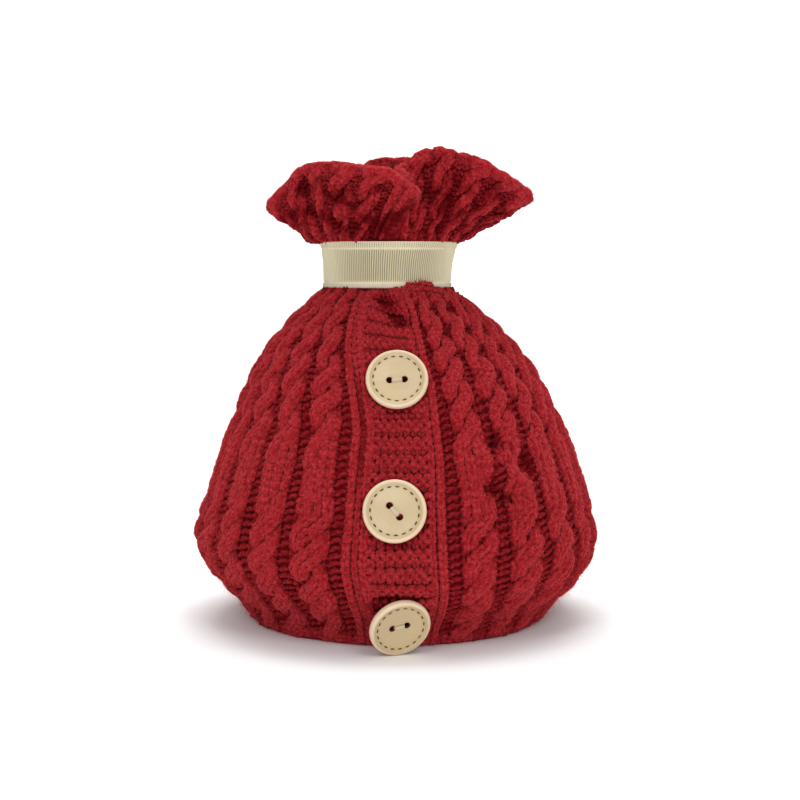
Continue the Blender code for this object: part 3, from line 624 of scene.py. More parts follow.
def strands(crests, crossings, knitting, rng):
    """The front passes of rope cables: centres, radii, facing and depth of the legs.
    crests are the stitches of the cables' middles, crossings the rows where they start."""
    gap = np.diff(crossings, prepend=crossings[0], append=crossings[-1]) > CROSSING_ROWS + 1
    held_low = on_axis(np.where(gap[:-1], FLUSH[0], -FREE), 1)
    held_high = on_axis(np.where(gap[1:], FLUSH[1], FREE), 1)
    place, across, lift, thick = np.array(LEG).T
    shape = (len(crests), len(crossings), 2, STRAND_STITCHES, 2, len(place))
    each_pass = shape[:2] + (1, 1, 1, 1)
    each_leg = shape[:5] + (1,)
    crest = on_axis(crests, 0)
    first = on_axis(crossings, 1) + jitter(rng, each_pass, 0.10)
    wale = on_axis([-0.5, 0.5], 2)
    stitch = on_axis(np.arange(STRAND_STITCHES), 3)
    leg = on_axis([-1.0, 1.0], 4)
    fat = 1.0 + jitter(rng, each_pass, 0.06)
    shift = jitter(rng, each_leg, 0.05)
    arc, shares = strand_shares()
    share = np.interp(stitch + 0.4 * (wale > 0) + place + shift, arc, shares)
    swing = np.clip((share - 0.5) / STRAND_SWAY, -1, 1)
    x = STRAND_SWING * fat * np.sin(math.pi / 2 * swing)
    bend = STRAND_SWING * fat * np.cos(math.pi / 2 * swing) * math.pi / 2 / STRAND_SWAY
    wide = stitch_width(crest, first + CROSSING_ROWS / 2)
    slope_x = np.where(np.abs(swing) < 1, bend, 0.0) * wide
    slope_y = CROSSING_ROWS * ROW_HEIGHT
    steep = np.hypot(slope_x, slope_y)
    table_share, table_lift, table_width = np.array(STRAND).T
    held = np.clip(share, held_low, held_high)
    off = (STRAND_WIDE * wale + leg * across) * np.interp(held, table_share, table_width) * fat
    off = off + jitter(rng, each_leg, 0.03)
    u = crest + x + off * slope_y / steep
    v = first + share * CROSSING_ROWS - off * wide * slope_x / steep / ROW_HEIGHT
    height, _, _ = by_row(CLOTH, np.clip(v, 0, TOP_ROW))
    height = np.maximum(height, STRAND_LEAST)
    size = yarn_radius(knitting, wide)
    top = np.interp(held, table_share, table_lift) * (1.0 - STRAND_BOW * off ** 2)
    frill = smooth(v, BAND_TOP_ROW - 1.0, BAND_TOP_ROW)
    raised = (STRAND_RISE * height - size) * top + lift * size * STRAND_RELIEF * (1.0 + frill)
    raised = raised + jitter(rng, each_leg, 0.1) * (1.0 + 2.5 * frill)
    size = size * (0.4 + 0.6 * thick) * fat * (1 + jitter(rng, each_leg, 0.06))
    u, v, raised, size, height = np.broadcast_arrays(u, v, raised, size, height)
    keep = (v > 0.1).all(axis=-1) & (v[..., 2] < TOP_ROW - 0.3)
    keep &= (v[..., 2] < BODY_ROWS + 0.3) | (v[..., 2] > BAND_TOP_ROW - 0.3)
    u, v, raised, size, height = [a[keep] for a in (u, v, raised, size, height)]
    centres, facing = lay(u, np.clip(v, 0, TOP_ROW - 0.2), raised)
    # painted shade, the more the deeper a leg lies under the cable's top
    deep = 1.0 - (raised + 0.6 * size) / height
    return centres, size, facing, shaded(u, v, deep, centres)


def knit_stitches(stitches, rows, level, knitting, rng, tall=1.0, slim=1.0, painted_shading=0.0):
    """Plain V stitches at the given stitches, rows and lifts."""
    place, across, lift, thick = np.array(LEG).T
    stitches, rows, level = [np.reshape(a, (-1, 1, 1)).astype(float)
                             for a in np.broadcast_arrays(stitches, rows, level)]
    leg = np.reshape([-1.0, 1.0], (1, 2, 1))
    shape = (stitches.size, 2, 1)
    size = yarn_radius(knitting, stitch_width(stitches, rows)) * slim
    u = stitches + leg * across * 0.98 * slim + jitter(rng, shape, 0.03)
    v = rows + place * tall + jitter(rng, shape, 0.04)
    raised = level + lift * size + jitter(rng, shape, 0.08)
    size = size * thick * (1 + jitter(rng, shape, 0.06))
    u, v, raised, size = apart(len(place), u, v, raised, size)
    centres, facing = lay(u, np.clip(v, 0.15, TOP_ROW), raised)
    # painted shade, the more the deeper a stitch lies in the cloth
    deep = 0.70 + painted_shading - (raised + 0.6 * size) / 4.2
    return centres, size, facing, shaded(u, v, deep, centres)


def plain_wales(crests, knitting, rng):
    """The four wales of each cable where no strand crosses."""
    first, last = PLAIN_ROWS
    parts = []
    for beside, begin, end, lift in PLAIN_WALES:
        rows = np.arange(first + begin, last + end)
        stitches, rows = crossed(crests + WALE_PITCH * beside, rows)
        seen = smooth(rows, first - 2.2, first) * (1 - smooth(rows, last + 0.5, last + 2.7))
        parts.append(knit_stitches(stitches, rows, lift * seen, knitting, rng))
    return joined(parts)


def edge_chain(row, level, thick, pitch, knitting, rng, bumpy):
    """A chain of stitches lying along an edge of the cloth, all the way round.  pitch is in
    stitches to a link, and bumpy is how much the links differ in thickness."""
    place, across, lift, size_table = np.array(LEG).T
    count = round(2 * HALF_ROUND / pitch)
    u0 = np.linspace(-HALF_ROUND, HALF_ROUND, count, endpoint=False).reshape(-1, 1, 1)
    leg = np.reshape([-1.0, 1.0], (1, 2, 1))
    shape = (u0.size, 2, 1)
    size = yarn_radius(knitting, stitch_width(u0, np.full(u0.shape, float(row)))) * thick
    u = u0 + place * pitch + jitter(rng, shape, 0.05)
    v = row + leg * across * 1.1 + jitter(rng, (u0.size, 1, 1), 0.12 * pitch)
    raised = level + 0.6 * lift * size * pitch + jitter(rng, shape, 0.1 * pitch)
    size = size * size_table * (1 + jitter(rng, shape, 0.08) + jitter(rng, (u0.size, 1, 1), bumpy))
    u, v, raised, size = apart(len(place), u, v, raised, size)
    centres, facing = lay(u, np.clip(v, 0.0, TOP_ROW), raised)
    return centres, size, facing, np.full(size.shape, 0.1)


def purl_rows(first, last, rows, knitting, rng, level=0.0, rings=10, shift=0.5, swing=0.2,
              thick=0.86, painted_shading=0.0, inner=False, lean=0.0, knobbed=0.0):
    """Rows of purl bumps as one wavy yarn each: heads up over the wales, sinkers down
    between them.  first, last and rows are arrays of the same length.  lean lifts a row's
    right half over its left one, knobbed thickens the heads until the rows meet there."""
    share = np.linspace(0.0, 1.0, rings)
    first, last, rows = [np.reshape(a, (-1, 1)).astype(float) for a in (first, last, rows)]
    u = first + (last - first) * share
    wave = 2 * math.pi * (u - shift)
    v = rows + swing * np.cos(wave) + jitter(rng, rows.shape, 0.05)
    v = v + lean * np.sin(2 * math.pi * (share - 0.5) * 0.8)
    u = u + 0.10 * np.sin(2 * wave) + jitter(rng, rows.shape, 0.04)
    wide = stitch_width((first + last) / 2, rows)
    size = yarn_radius(knitting, wide) * thick
    head = np.abs(np.cos(wave)) ** 1.5
    size = size * (1 + jitter(rng, rows.shape, 0.06)) * (0.66 + 0.34 * head)
    size = size * (1 + knobbed * np.cos(wave))
    raised = level + 0.9 * head + jitter(rng, rows.shape, 0.1)
    if inner:
        _, _, wall = by_row(CLOTH, v)
        raised = -wall - 0.15 * size - 0.3 * head
    centres, facing = lay(u, np.clip(v, 0.2, TOP_ROW), raised)
    facing = -facing if inner else facing
    # painted shade, more between the heads than on them
    return centres, size, facing, shaded(u, v, 0.72 + painted_shading - 0.42 * head, centres)


def crest_stitches():
    """The middle stitch of every cable, from the back round to the back."""
    side = PANEL_HALF + 4 + PERIOD * np.arange(CABLES // 2)
    return np.concatenate([-side[::-1], side])


def gutter_stitches():
    side = PANEL_HALF + 1 + PERIOD * np.arange(CABLES // 2 + 1)
    return np.concatenate([-side[-2::-1], side])


# ---------------------------------------------------------------- finishes
def feed(tree, target, socket, value):
    """Gives a socket a value, or leads a (node, output) pair into it."""
    if isinstance(value, tuple) and isinstance(value[0], bpy.types.Node):
        tree.links.new(value[0].outputs[value[1]], target.inputs[socket])
    else:
        target.inputs[socket].default_value = value


def node(tree, kind, name, **values):
    """A shader node; values are its settings by name, or what feeds a socket by its name."""
    made = tree.nodes.new("ShaderNode" + kind)
    made.name = made.label = name
    for key, value in values.items():
        if hasattr(made, key):
            setattr(made, key, value)
        else:
            feed(tree, made, key.replace("_", " "), value)
    return made


def calculate(tree, operation, name, *terms):
    """The output of a Math node; a term is a number or a (node, output) pair."""
    made = node(tree, "Math", name, operation=operation)
    for slot, term in enumerate(terms):
        feed(tree, made, slot, term)
    return made, 0


def new_group(name, inputs, outputs):
    """A node group of plain values, with its two ends."""
    group = bpy.data.node_groups.new(name, "ShaderNodeTree")
    for side, labels in (("INPUT", inputs), ("OUTPUT", outputs)):
        for label in labels:
            group.interface.new_socket(name=label, in_out=side, socket_type="NodeSocketFloat")
    for label, value in inputs.items():
        group.interface.items_tree[label].default_value = value
    return group, group.nodes.new("NodeGroupInput"), group.nodes.new("NodeGroupOutput")


def spun_yarn_group(name):
    """The plies and fibres of a spun yarn, from its map: turns round it, length along it."""
    group, given, made = new_group(
        name, {"Plies": 3.0, "Turns per mm": 0.14, "Fibres": 26.0}, ("Height", "Light"))
    place = node(group, "UVMap", "Yarn map", uv_map="yarn")
    parts = node(group, "SeparateXYZ", "Round and along", Vector=(place, "UV"))
    twist = calculate(group, "MULTIPLY", "Twist", (parts, "Y"), (given, "Turns per mm"))
    turned = calculate(group, "ADD", "Turned", (parts, "X"), twist)
    plies = calculate(group, "MULTIPLY", "Ply count", turned, (given, "Plies"))
    wave = calculate(group, "PINGPONG", "Ply", plies, 0.5)
    ply = calculate(group, "MULTIPLY", "Ply height", wave, 1.1)
    around = calculate(group, "MULTIPLY", "Fibre count", turned, (given, "Fibres"))
    length = calculate(group, "MULTIPLY", "Fibre length", (parts, "Y"), 0.9)
    streak = node(group, "CombineXYZ", "Fibre place", X=around, Y=length)
    fibre = node(group, "TexNoise", "Fibres", Vector=(streak, 0), Scale=1.0, Detail=3.0,
                 Roughness=0.7)
    fuzz = calculate(group, "MULTIPLY", "Fibre share", (fibre, "Fac"), 1.5)
    height = calculate(group, "ADD", "Height", ply, fuzz)
    feed(group, made, "Height", height)
    feed(group, made, "Light", calculate(group, "MULTIPLY", "Light", height, 0.6))
    return group


def mottled_group(name):
    """Uneven dyeing and handling, at the size of a few stitches and at that of a fibre."""
    group, given, made = new_group(name, {"Size": 60.0, "Fine": 900.0}, ("Patches", "Specks"))
    place = node(group, "TexCoord", "Place")
    for label, size, detail in (("Patches", "Size", 3.0), ("Specks", "Fine", 4.0)):
        noise = node(group, "TexNoise", label, Vector=(place, "Object"), Scale=(given, size),
                     Detail=detail, Roughness=0.65)
        feed(group, made, label, (noise, "Fac"))
    return group


def waved_rows_group(name):
    """Wavy rows across a chart, one to a unit: the bumps at the back of knitting, or the
    picks of a woven band."""
    group, given, made = new_group(name, {"Across": 1.0, "Rows": 1.0, "Swing": 0.2}, ("Height",))
    place = node(group, "UVMap", "Chart", uv_map="chart")
    parts = node(group, "SeparateXYZ", "Across and up", Vector=(place, "UV"))
    turned = calculate(group, "MULTIPLY", "Across turned", (parts, "X"), (given, "Across"))
    wave = calculate(group, "MULTIPLY", "Wave angle", turned, 2 * math.pi)
    wave = calculate(group, "COSINE", "Wave", wave)
    swing = calculate(group, "MULTIPLY", "Wave swing", wave, (given, "Swing"))
    up = calculate(group, "MULTIPLY", "Up", (parts, "Y"), (given, "Rows"))
    row = calculate(group, "ADD", "Waved row", up, swing)
    ridge = calculate(group, "PINGPONG", "Ridge", row, 0.5)
    feed(group, made, "Height", calculate(group, "MULTIPLY", "Row height", ridge, 2.0))
    return group


def turned_wood_group(name):
    """Long grain of pale wood, from a chart in millimetres, and fine pores along it."""
    group, _, made = new_group(name, {}, ("Grain", "Pores"))
    place = node(group, "UVMap", "Chart", uv_map="chart")
    for label, along_grain, across_grain in (("Grain", 0.035, 0.55), ("Pores", 0.5, 7.0)):
        stretched = node(group, "VectorMath", label + " place", operation="MULTIPLY")
        feed(group, stretched, 0, (place, "UV"))
        feed(group, stretched, 1, (along_grain, across_grain, 1.0))
        noise = node(group, "TexNoise", label, Vector=(stretched, 0), Scale=1.0, Detail=5.0,
                     Roughness=0.6)
        feed(group, made, label, (noise, "Fac"))
    return group


def shared(tree, name, maker, **values):
    """A node of the group of that name, which is built the first time that it is asked for."""
    group = bpy.data.node_groups.get(name) or maker(name)
    return node(tree, "Group", name, node_tree=group, **values)


def mix(tree, name, factor, first, second):
    """The output of a colour mix; all three are (node, output) pairs or colours."""
    made = node(tree, "Mix", name, data_type="RGBA")
    for socket, term in ((0, factor), (6, first), (7, second)):
        feed(tree, made, socket, term if isinstance(term, tuple) else (*term, 1.0))
    return made, 2


def stretch(tree, name, source, low, high, bottom, top):
    """A value spread from low..high to bottom..top and held there."""
    return node(tree, "MapRange", name, Value=source, From_Min=low, From_Max=high,
                To_Min=bottom, To_Max=top), 0


def coats(tree, shader, colour, layers):
    """Colours laid over a first one, for the shader.  A layer is its name, the value that it
    follows, that value's range, the layer's strength at both ends of it, and its colour."""
    for name, source, low, high, bottom, top, over in layers:
        share = stretch(tree, name + " range", source, low, high, bottom, top)
        colour = mix(tree, name, share, colour, over)
    feed(tree, shader, "Base Color", colour)


def measured(tree):
    """The mesh's own values: depth for painted shade on yarn and band, the band's selvage, and
    painted shade and highlight on the buttons.
    """
    return node(tree, "Attribute", "Depth", attribute_name="deep"), "Fac"


def bumped(tree, shader, height, distance, strength, specks=None, share=0.0):
    """Relief from a height, with a share of fine specks over it where they are given."""
    if specks:
        fine = calculate(tree, "MULTIPLY", "Speck height", specks, share)
        height = calculate(tree, "ADD", "All relief", height, fine)
    relief = node(tree, "Bump", "Relief", Height=height, Distance=distance, Strength=strength)
    feed(tree, shader, "Normal", (relief, "Normal"))


def red_yarn(tree, shader, colours):
    spun = shared(tree, "Spun yarn", spun_yarn_group)
    dye = shared(tree, "Uneven dye", mottled_group, Size=280.0, Fine=650.0)
    gap = measured(tree)
    coats(tree, shader, colours.yarn_shade, [
        ("Fibres", (spun, "Light"), 0.2, 1.0, 0.0, 1.0, colours.yarn_light),
        ("Patches", (dye, "Patches"), 0.35, 0.65, 0.0, 0.5, colours.yarn_shade),
        ("Specks", (dye, "Specks"), 0.42, 0.7, 0.0, 0.5, colours.yarn_bright),
        # painted shade: deep between the stitches, in the hollows, over the frill and behind the
        # buttons
        ("Painted gap shade", gap, 0.28, 1.3, 0.0, 1.0, colours.yarn_gap_shade)])
    # the sheen fades out deep in the gaps, as painted shade
    feed(tree, shader, "Sheen Weight", stretch(tree, "Down", gap, 0.3, 0.9, 0.32, 0.0))
    bumped(tree, shader, (spun, "Height"), 0.00022, 0.6, (dye, "Specks"), 0.8)


def stray_yarn(tree, shader, colours):
    dye = shared(tree, "Uneven dye", mottled_group, Fine=420.0)
    # the stray fibres' paler red, partly their own colour and partly a painted highlight
    tint = mix(tree, "Fibre colour", (dye, "Specks"), colours.yarn_light, colours.yarn_fuzz_highlight)
    feed(tree, shader, "Base Color", tint)


def yarn_back(tree, shader, colours):
    """The back of the knitting: purl bumps in wavy rows, with painted shade between them."""
    bumps = shared(tree, "Waved rows", waved_rows_group)
    dye = shared(tree, "Uneven dye", mottled_group)
    coats(tree, shader, colours.yarn_shade, [
        ("Bumps", (bumps, "Height"), 0.1, 0.9, 0.0, 1.0, colours.yarn_light),
        ("Specks", (dye, "Specks"), 0.45, 0.75, 0.0, 0.35, colours.yarn_light)])
    bumped(tree, shader, (bumps, "Height"), 0.0012, 0.9, (dye, "Specks"), 0.4)


def beige_elastic(tree, shader, colours):
    """Woven elastic: fine picks across its ribs, shade in the grooves between them."""
    picks = shared(tree, "Waved rows", waved_rows_group, Across=0.5, Rows=1.7, Swing=0.5)
    dye = shared(tree, "Uneven dye", mottled_group, Size=110.0, Fine=1500.0)
    groove = measured(tree)
    coats(tree, shader, colours.elastic_shade, [
        ("Picks", (picks, "Height"), 0.0, 1.0, 0.15, 1.0, colours.elastic_light),
        ("Patches", (dye, "Patches"), 0.35, 0.7, 0.0, 0.2, colours.elastic_shade),
        # painted shade deep in the grooves between the ribs
        ("Painted groove shade", groove, 0.2, 0.95, 0.0, 0.85, colours.elastic_groove_shade),
        ("Selvage", groove, -0.9, -0.1, 1.0, 0.0, colours.elastic_edge)])
    bumped(tree, shader, (picks, "Height"), 0.00018, 0.8, (dye, "Specks"), 0.6)


def pale_wood(tree, shader, colours):
    """Pale turned wood, waxed: grain bands, pores, a warmer tone where it was handled, painted
    shade on the ring inside the rim and in the holes, and a painted highlight on the rim.
    """
    shader.inputs["Coat Weight"].default_value = 0.4
    shader.inputs["Coat Roughness"].default_value = 0.32
    wood = shared(tree, "Turned wood", turned_wood_group)
    dye = shared(tree, "Uneven dye", mottled_group, Size=70.0, Fine=700.0)
    painted_wood_shading = measured(tree)
    coats(tree, shader, colours.wood_light, [
        ("Grain", (wood, "Grain"), 0.3, 0.7, 0.0, 0.4, colours.wood_shade),
        ("Handled", (dye, "Patches"), 0.4, 0.7, 0.0, 0.3, colours.wood_shade),
        # painted shade on the ring inside the rim, and a painted highlight on the rim
        ("Painted ring shade", painted_wood_shading, 0.0, 1.0, 0.0, 1.0, colours.wood_shade),
        ("Painted rim highlight", painted_wood_shading, -1.0, 0.0, 0.85, 0.0, colours.wood_rim_highlight),
        ("Pores", (wood, "Pores"), 0.58, 0.75, 0.0, 0.25, colours.wood_burnt_and_hole_shade),
        # painted shade on the walls of the holes
        ("Painted hole shade", painted_wood_shading, 1.0, HOLE_WALL_SHADE, 0.0, 1.0, colours.wood_burnt_and_hole_shade)])
    rough = stretch(tree, "Roughness", (dye, "Specks"), 0.3, 0.7, 0.36, 0.52)
    feed(tree, shader, "Roughness", rough)
    bumped(tree, shader, (wood, "Pores"), 0.00004, 0.5)


def burnt_wood(tree, shader, colours):
    dye = shared(tree, "Uneven dye", mottled_group, Size=600.0, Fine=2500.0)
    coats(tree, shader, colours.wood_burnt_and_hole_shade, [
        ("Scorch", (dye, "Patches"), 0.0, 1.0, 0.0, 1.0, colours.wood_shade),
        ("Char", (dye, "Specks"), 0.3, 0.6, 0.45, 1.0, colours.wood_burnt_and_hole_shade)])
    bumped(tree, shader, (dye, "Specks"), 0.0001, 0.6)


def cream_thread(tree, shader, colours):
    spun = shared(tree, "Spun yarn", spun_yarn_group, Plies=3.0, Turns_per_mm=0.9, Fibres=8.0)
    coats(tree, shader, colours.elastic_shade, [
        ("Twist", (spun, "Light"), 0.2, 0.8, 0.0, 1.0, colours.thread),
        # painted shade where the thread goes down into the holes
        ("Painted thread shade", measured(tree), 0.5, 1.1, 0.0, 0.8, colours.wood_burnt_and_hole_shade)])
    bumped(tree, shader, (spun, "Height"), 0.0001, 0.8)


def plain_floor(tree, shader, colours):
    shader.inputs["Base Color"].default_value = (*colours.floor, 1.0)


# ---- what lays a finish on, its roughness, specular level, sheen and the sheen's tint
RED_DOWN, WHITE_DOWN = (1.0, 0.2, 0.2, 1.0), (1.0, 1.0, 1.0, 1.0)
FINISHES = {
    "Red yarn": (red_yarn, 0.95, 0.03, 0.0, RED_DOWN),
    "Red yarn, stray fibres": (stray_yarn, 0.9, 0.1, 0.1, RED_DOWN),
    "Red yarn, back": (yarn_back, 0.95, 0.02, 0.05, RED_DOWN),
    "Beige elastic": (beige_elastic, 0.8, 0.08, 0.0, WHITE_DOWN),
    "Pale wood": (pale_wood, 0.42, 0.45, 0.0, WHITE_DOWN),
    "Burnt marks": (burnt_wood, 0.75, 0.15, 0.0, WHITE_DOWN),
    "Cream thread": (cream_thread, 0.7, 0.25, 0.2, WHITE_DOWN),
    "Studio floor": (plain_floor, 0.8, 0.1, 0.0, WHITE_DOWN),
}


def finish(name, context):
    """The material of that name, made the first time that a piece needs it."""
    if name in bpy.data.materials:
        return bpy.data.materials[name]
    maker, roughness, specular, sheen, tint = FINISHES[name]
    material = bpy.data.materials.new(name)
    material.use_nodes = True
    shader = material.node_tree.nodes["Principled BSDF"]
    for socket, value in (("Roughness", roughness), ("Specular IOR Level", specular),
                          ("Sheen Weight", sheen), ("Sheen Roughness", 0.5),
                          ("Sheen Tint", tint)):
        feed(material.node_tree, shader, socket, value)
    maker(material.node_tree, shader, context.scene.cosy_colours)
    return material


# ---------------------------------------------------------------- stray fibres
def exposed_faces(pieces):
    """Centre, normal, area and openness of every face of the knitted pieces, in mm."""
    gathered = []
    for piece in pieces:
        mesh = piece.data
        faces = mesh.polygons
        first = read(faces, "loop_start", kind=np.int32)
        corner = read(mesh.loops, "vertex_index", kind=np.int32)[first]
        deep = read(mesh.attributes["deep"].data, "value")[corner]
        gathered.append((read(faces, "center", 3) / MM - AXIS, read(faces, "normal", 3),
                         read(faces, "area") / MM ** 2, np.clip(1.0 - 1.4 * deep, 0.02, 1.0)))
    return joined(gathered)


def unit(vectors):
    return vectors / (np.linalg.norm(vectors, axis=-1, keepdims=True) + 1e-9)


def stray_fibres(name, pieces, count, length, width, rises, rng, material):
    """Slivers that leave the yarn: how many, their usual length and width at the root in mm,
    and the least and greatest slope at which they rise out of it."""
    centre, normal, area, open_share = exposed_faces(pieces)
    chance = area * open_share ** 1.5
    pick = rng.choice(len(chance), count, p=chance / chance.sum())
    centre, normal, area = centre[pick], normal[pick], area[pick]
    sideways = unit(np.cross(normal, rng.normal(size=(count, 3))))
    root = centre + sideways * (np.sqrt(area) * rng.uniform(-0.5, 0.5, count))[:, None]
    heading = unit(sideways + normal * rng.uniform(*rises, (count, 1)))
    length = length * np.clip(rng.lognormal(0.0, 0.35, (count, 1)), 0.4, 1.9)
    wide = unit(np.cross(heading, normal)) * width / 2 * rng.uniform(0.6, 1.2, (count, 1))
    start = root - 0.12 * normal
    tip = start + (heading - 0.12 * normal + rng.normal(size=(count, 3)) * 0.2) * length
    points = np.stack([start - wide, start + wide, tip], 1)
    points[..., 2] = np.maximum(points[..., 2], LOWEST)
    index = np.arange(3 * count)
    piece = new_piece(name, points.reshape(-1, 3), index, index[::3], material)
    triangle = [(0.1, 0.1), (0.9, 0.1), (0.5, 0.9)]
    add_map(piece, "OFBake", bake_cells(np.broadcast_to(triangle, (count, 3, 2))))


# ---------------------------------------------------------------- the buttons
def button_axes(tilt, swing, roll):
    """Unit vectors along the line of holes, across it and out of the button's face."""
    tilt, swing, roll = np.radians((tilt, swing, roll))
    face = np.array((math.sin(swing) * math.cos(tilt), -math.cos(swing) * math.cos(tilt),
                     math.sin(tilt)))
    level = unit(np.cross((0.0, 0.0, 1.0), face))
    holes = level * math.cos(roll) + np.cross(face, level) * math.sin(roll)
    return np.stack([holes, np.cross(face, holes), face])


def dish(radius):
    """Height of the dished face under the rim's top."""
    deep, rise = BUTTON_DISH
    return rise * (radius / FACE_RADIUS) ** 2 - deep


def turned_button():
    """A button's quad grids in its own axes: its rim, then the face and the back with a hole
    on each side."""
    rim = np.array(BUTTON_RIM)
    angle = 2 * math.pi * np.arange(AROUND + 1) / AROUND
    grids = [np.stack([rim[:, :1] * np.cos(angle), rim[:, :1] * np.sin(angle),
                       np.repeat(rim[:, 1:], AROUND + 1, axis=1)], -1)]
    step = AROUND // 4
    middle = np.cos(math.pi * np.arange(1, step) / step)
    for side in (-1.0, 1.0):
        arc = angle[:2 * step + 1] - math.pi / 2
        border = np.concatenate([
            FACE_RADIUS * np.stack([side * np.cos(arc), np.sin(arc)], -1),
            FACE_RADIUS * np.stack([np.zeros(step - 1), middle], -1)])
        border = np.concatenate([border, border[:1]])
        hole = np.array((side * HOLE_OFFSET, 0.0))
        edge = hole + HOLE_RADIUS * unit(border - hole)
        rings = []
        for share, drop in HOLE_RINGS:
            flat = edge + (border - edge) * share
            rings.append(np.column_stack([flat, dish(np.hypot(*flat.T)) - drop]))
        back = BUTTON_RIM[-1][1]
        for share, height in ((0.0, HOLE_MIDDLE), (0.0, back), (0.5, back), (1.0, back)):
            flat = edge + (border - edge) * share
            rings.append(np.column_stack([flat, np.full(len(flat), height)]))
        rings = np.array(rings)
        grids.append(rings if side < 0 else rings[:, ::-1])
    return grids


# ---------------------------------------------------------------- what a user may change
def length_setting(label, text, value, least, most):
    return bpy.props.FloatProperty(name=label, description=text, default=value, min=least,
                                   max=most, unit="LENGTH")


def count_setting(label, text, value, least, most):
    return bpy.props.IntProperty(name=label, description=text, default=value, min=least,
                                 max=most)


def colour_setting(label, text, value):
    return bpy.props.FloatVectorProperty(name=label, description=text, default=value,
                                         subtype="COLOR", min=0, max=1)


class CosyKnitting(bpy.types.PropertyGroup):
    yarn_thickness: length_setting(
        "Yarn thickness", "Thickness of the yarn where it lies free", 0.0029, 0.001, 0.005)
    fibre_length: length_setting(
        "Fibre length", "Usual length of a stray fibre", 0.0020, 0.0005, 0.01)
    fibre_width: length_setting(
        "Fibre width", "Width of a stray fibre at its root", 0.00017, 0.00002, 0.001)
    short_fibres: count_setting(
        "Short fibres", "How many short fibres lie along the yarn", 190000, 1, 190000)
    long_fibres: count_setting(
        "Long fibres", "How many longer fibres stand out of the yarn", 40000, 1, 190000)


class CosyNotions(bpy.types.PropertyGroup):
    ribs: count_setting("Ribs", "How many ribs run round the elastic band", 186, 40, 300)
    rib_depth: length_setting(
        "Rib depth", "Depth of the grooves between the band's ribs", 0.0007, 0.0, 0.001)
    marks: count_setting("Marks", "How many burnt dashes ring a button's face", 19, 0, 60)
    mark_length: length_setting("Mark length", "Length of a burnt dash", 0.0019, 0.0005, 0.004)
    thread_strands: count_setting(
        "Thread strands", "How many strands of thread hold a button", 5, 1, 9)


class CosyColours(bpy.types.PropertyGroup):
    yarn_light: colour_setting(
        "Yarn, light", "The yarn where its fibres catch the light", (0.338, 0.0092, 0.0142))
    yarn_bright: colour_setting(
        "Yarn, bright", "Bright specks of the yarn's surface", (0.67, 0.062, 0.078))
    # partly the fibres' own paler red, partly a painted highlight where they catch the light
    yarn_fuzz_highlight: colour_setting(
        "Yarn, fuzz", "The palest of the stray fibres, partly a painted highlight", (0.70, 0.075, 0.090))
    yarn_shade: colour_setting(
        "Yarn, shade", "The yarn between its plies", (0.205, 0.0035, 0.0060))
    # painted shade: the colour of the yarn where it lies deep in the cloth
    yarn_gap_shade: colour_setting(
        "Yarn, gap shade", "Painted shade on the yarn deep between the stitches", (0.078, 0.0012, 0.0024))
    elastic_light: colour_setting(
        "Elastic, light", "The elastic band on its ribs", (0.86, 0.81, 0.58))
    elastic_shade: colour_setting(
        "Elastic, shade", "The elastic band between its picks", (0.62, 0.54, 0.375))
    # painted shade in the grooves between the band's ribs
    elastic_groove_shade: colour_setting(
        "Elastic, groove shade", "Painted shade on the elastic band between its ribs", (0.19, 0.145, 0.080))
    elastic_edge: colour_setting(
        "Elastic, edge", "The elastic band's lower selvage", (0.65, 0.575, 0.43))
    wood_light: colour_setting("Wood, light", "The buttons' early wood", (0.54, 0.42, 0.245))
    # also the painted shade on the ring inside the buttons' rim
    wood_shade: colour_setting("Wood, shade", "The buttons' late wood", (0.45, 0.33, 0.165))
    # a painted highlight on the buttons' rim
    wood_rim_highlight: colour_setting(
        "Wood, rim highlight", "Painted highlight on the rim of the buttons", (0.76, 0.57, 0.395))
    # the burnt colour of the dashes and pores, also used as painted shade in the holes
    wood_burnt_and_hole_shade: colour_setting(
        "Wood, burnt and hole shade", "The burnt marks on the buttons, also the painted shade in their holes", (0.060, 0.032, 0.012))
    thread: colour_setting("Thread", "The sewing thread", (0.56, 0.49, 0.33))
    floor: colour_setting("Floor", "The studio's floor and backdrop", (0.93, 0.93, 0.93))


KNITTED = ("cables_back_left", "cables_front_left", "cables_front_right", "cables_back_right",
           "gutters_body", "panel_columns", "panel_ridges", "frill_cables", "frill_gutters",
           "frill_inside", "neck_lip", "hem_edge", "rim_edge", "slot_edges")
FIBRES = ("short_fibres", "long_fibres")
# ---- their length and width as shares of the usual ones, least and greatest slope out
FIBRE_SHAPES = ((1.0, 1.0, (0.08, 0.6)), (2.4, 0.6, (0.3, 1.6)))


def knit(context, name, parts, sides=5):
    """One piece of red yarn from lists of yarns."""
    yarns(name, *joined(parts), sides, finish("Red yarn", context))


class COSY_OT_cables(bpy.types.Operator):
    """Knit the rope cables of the body as front passes of two-wale strands"""
    bl_idname = "cosy.cables"
    bl_label = "Knit the cables"

    def execute(self, context):
        knitting = context.scene.cosy_knitting
        crests = crest_stitches()
        for label, quarter in zip(KNITTED[:4], np.array_split(np.arange(len(crests)), 4)):
            rng = np.random.default_rng(int(quarter[0]) + 5)
            knit(context, label, [strands(crests[quarter], CROSSINGS, knitting, rng),
                                  plain_wales(crests[quarter], knitting, rng)])
        return {"FINISHED"}


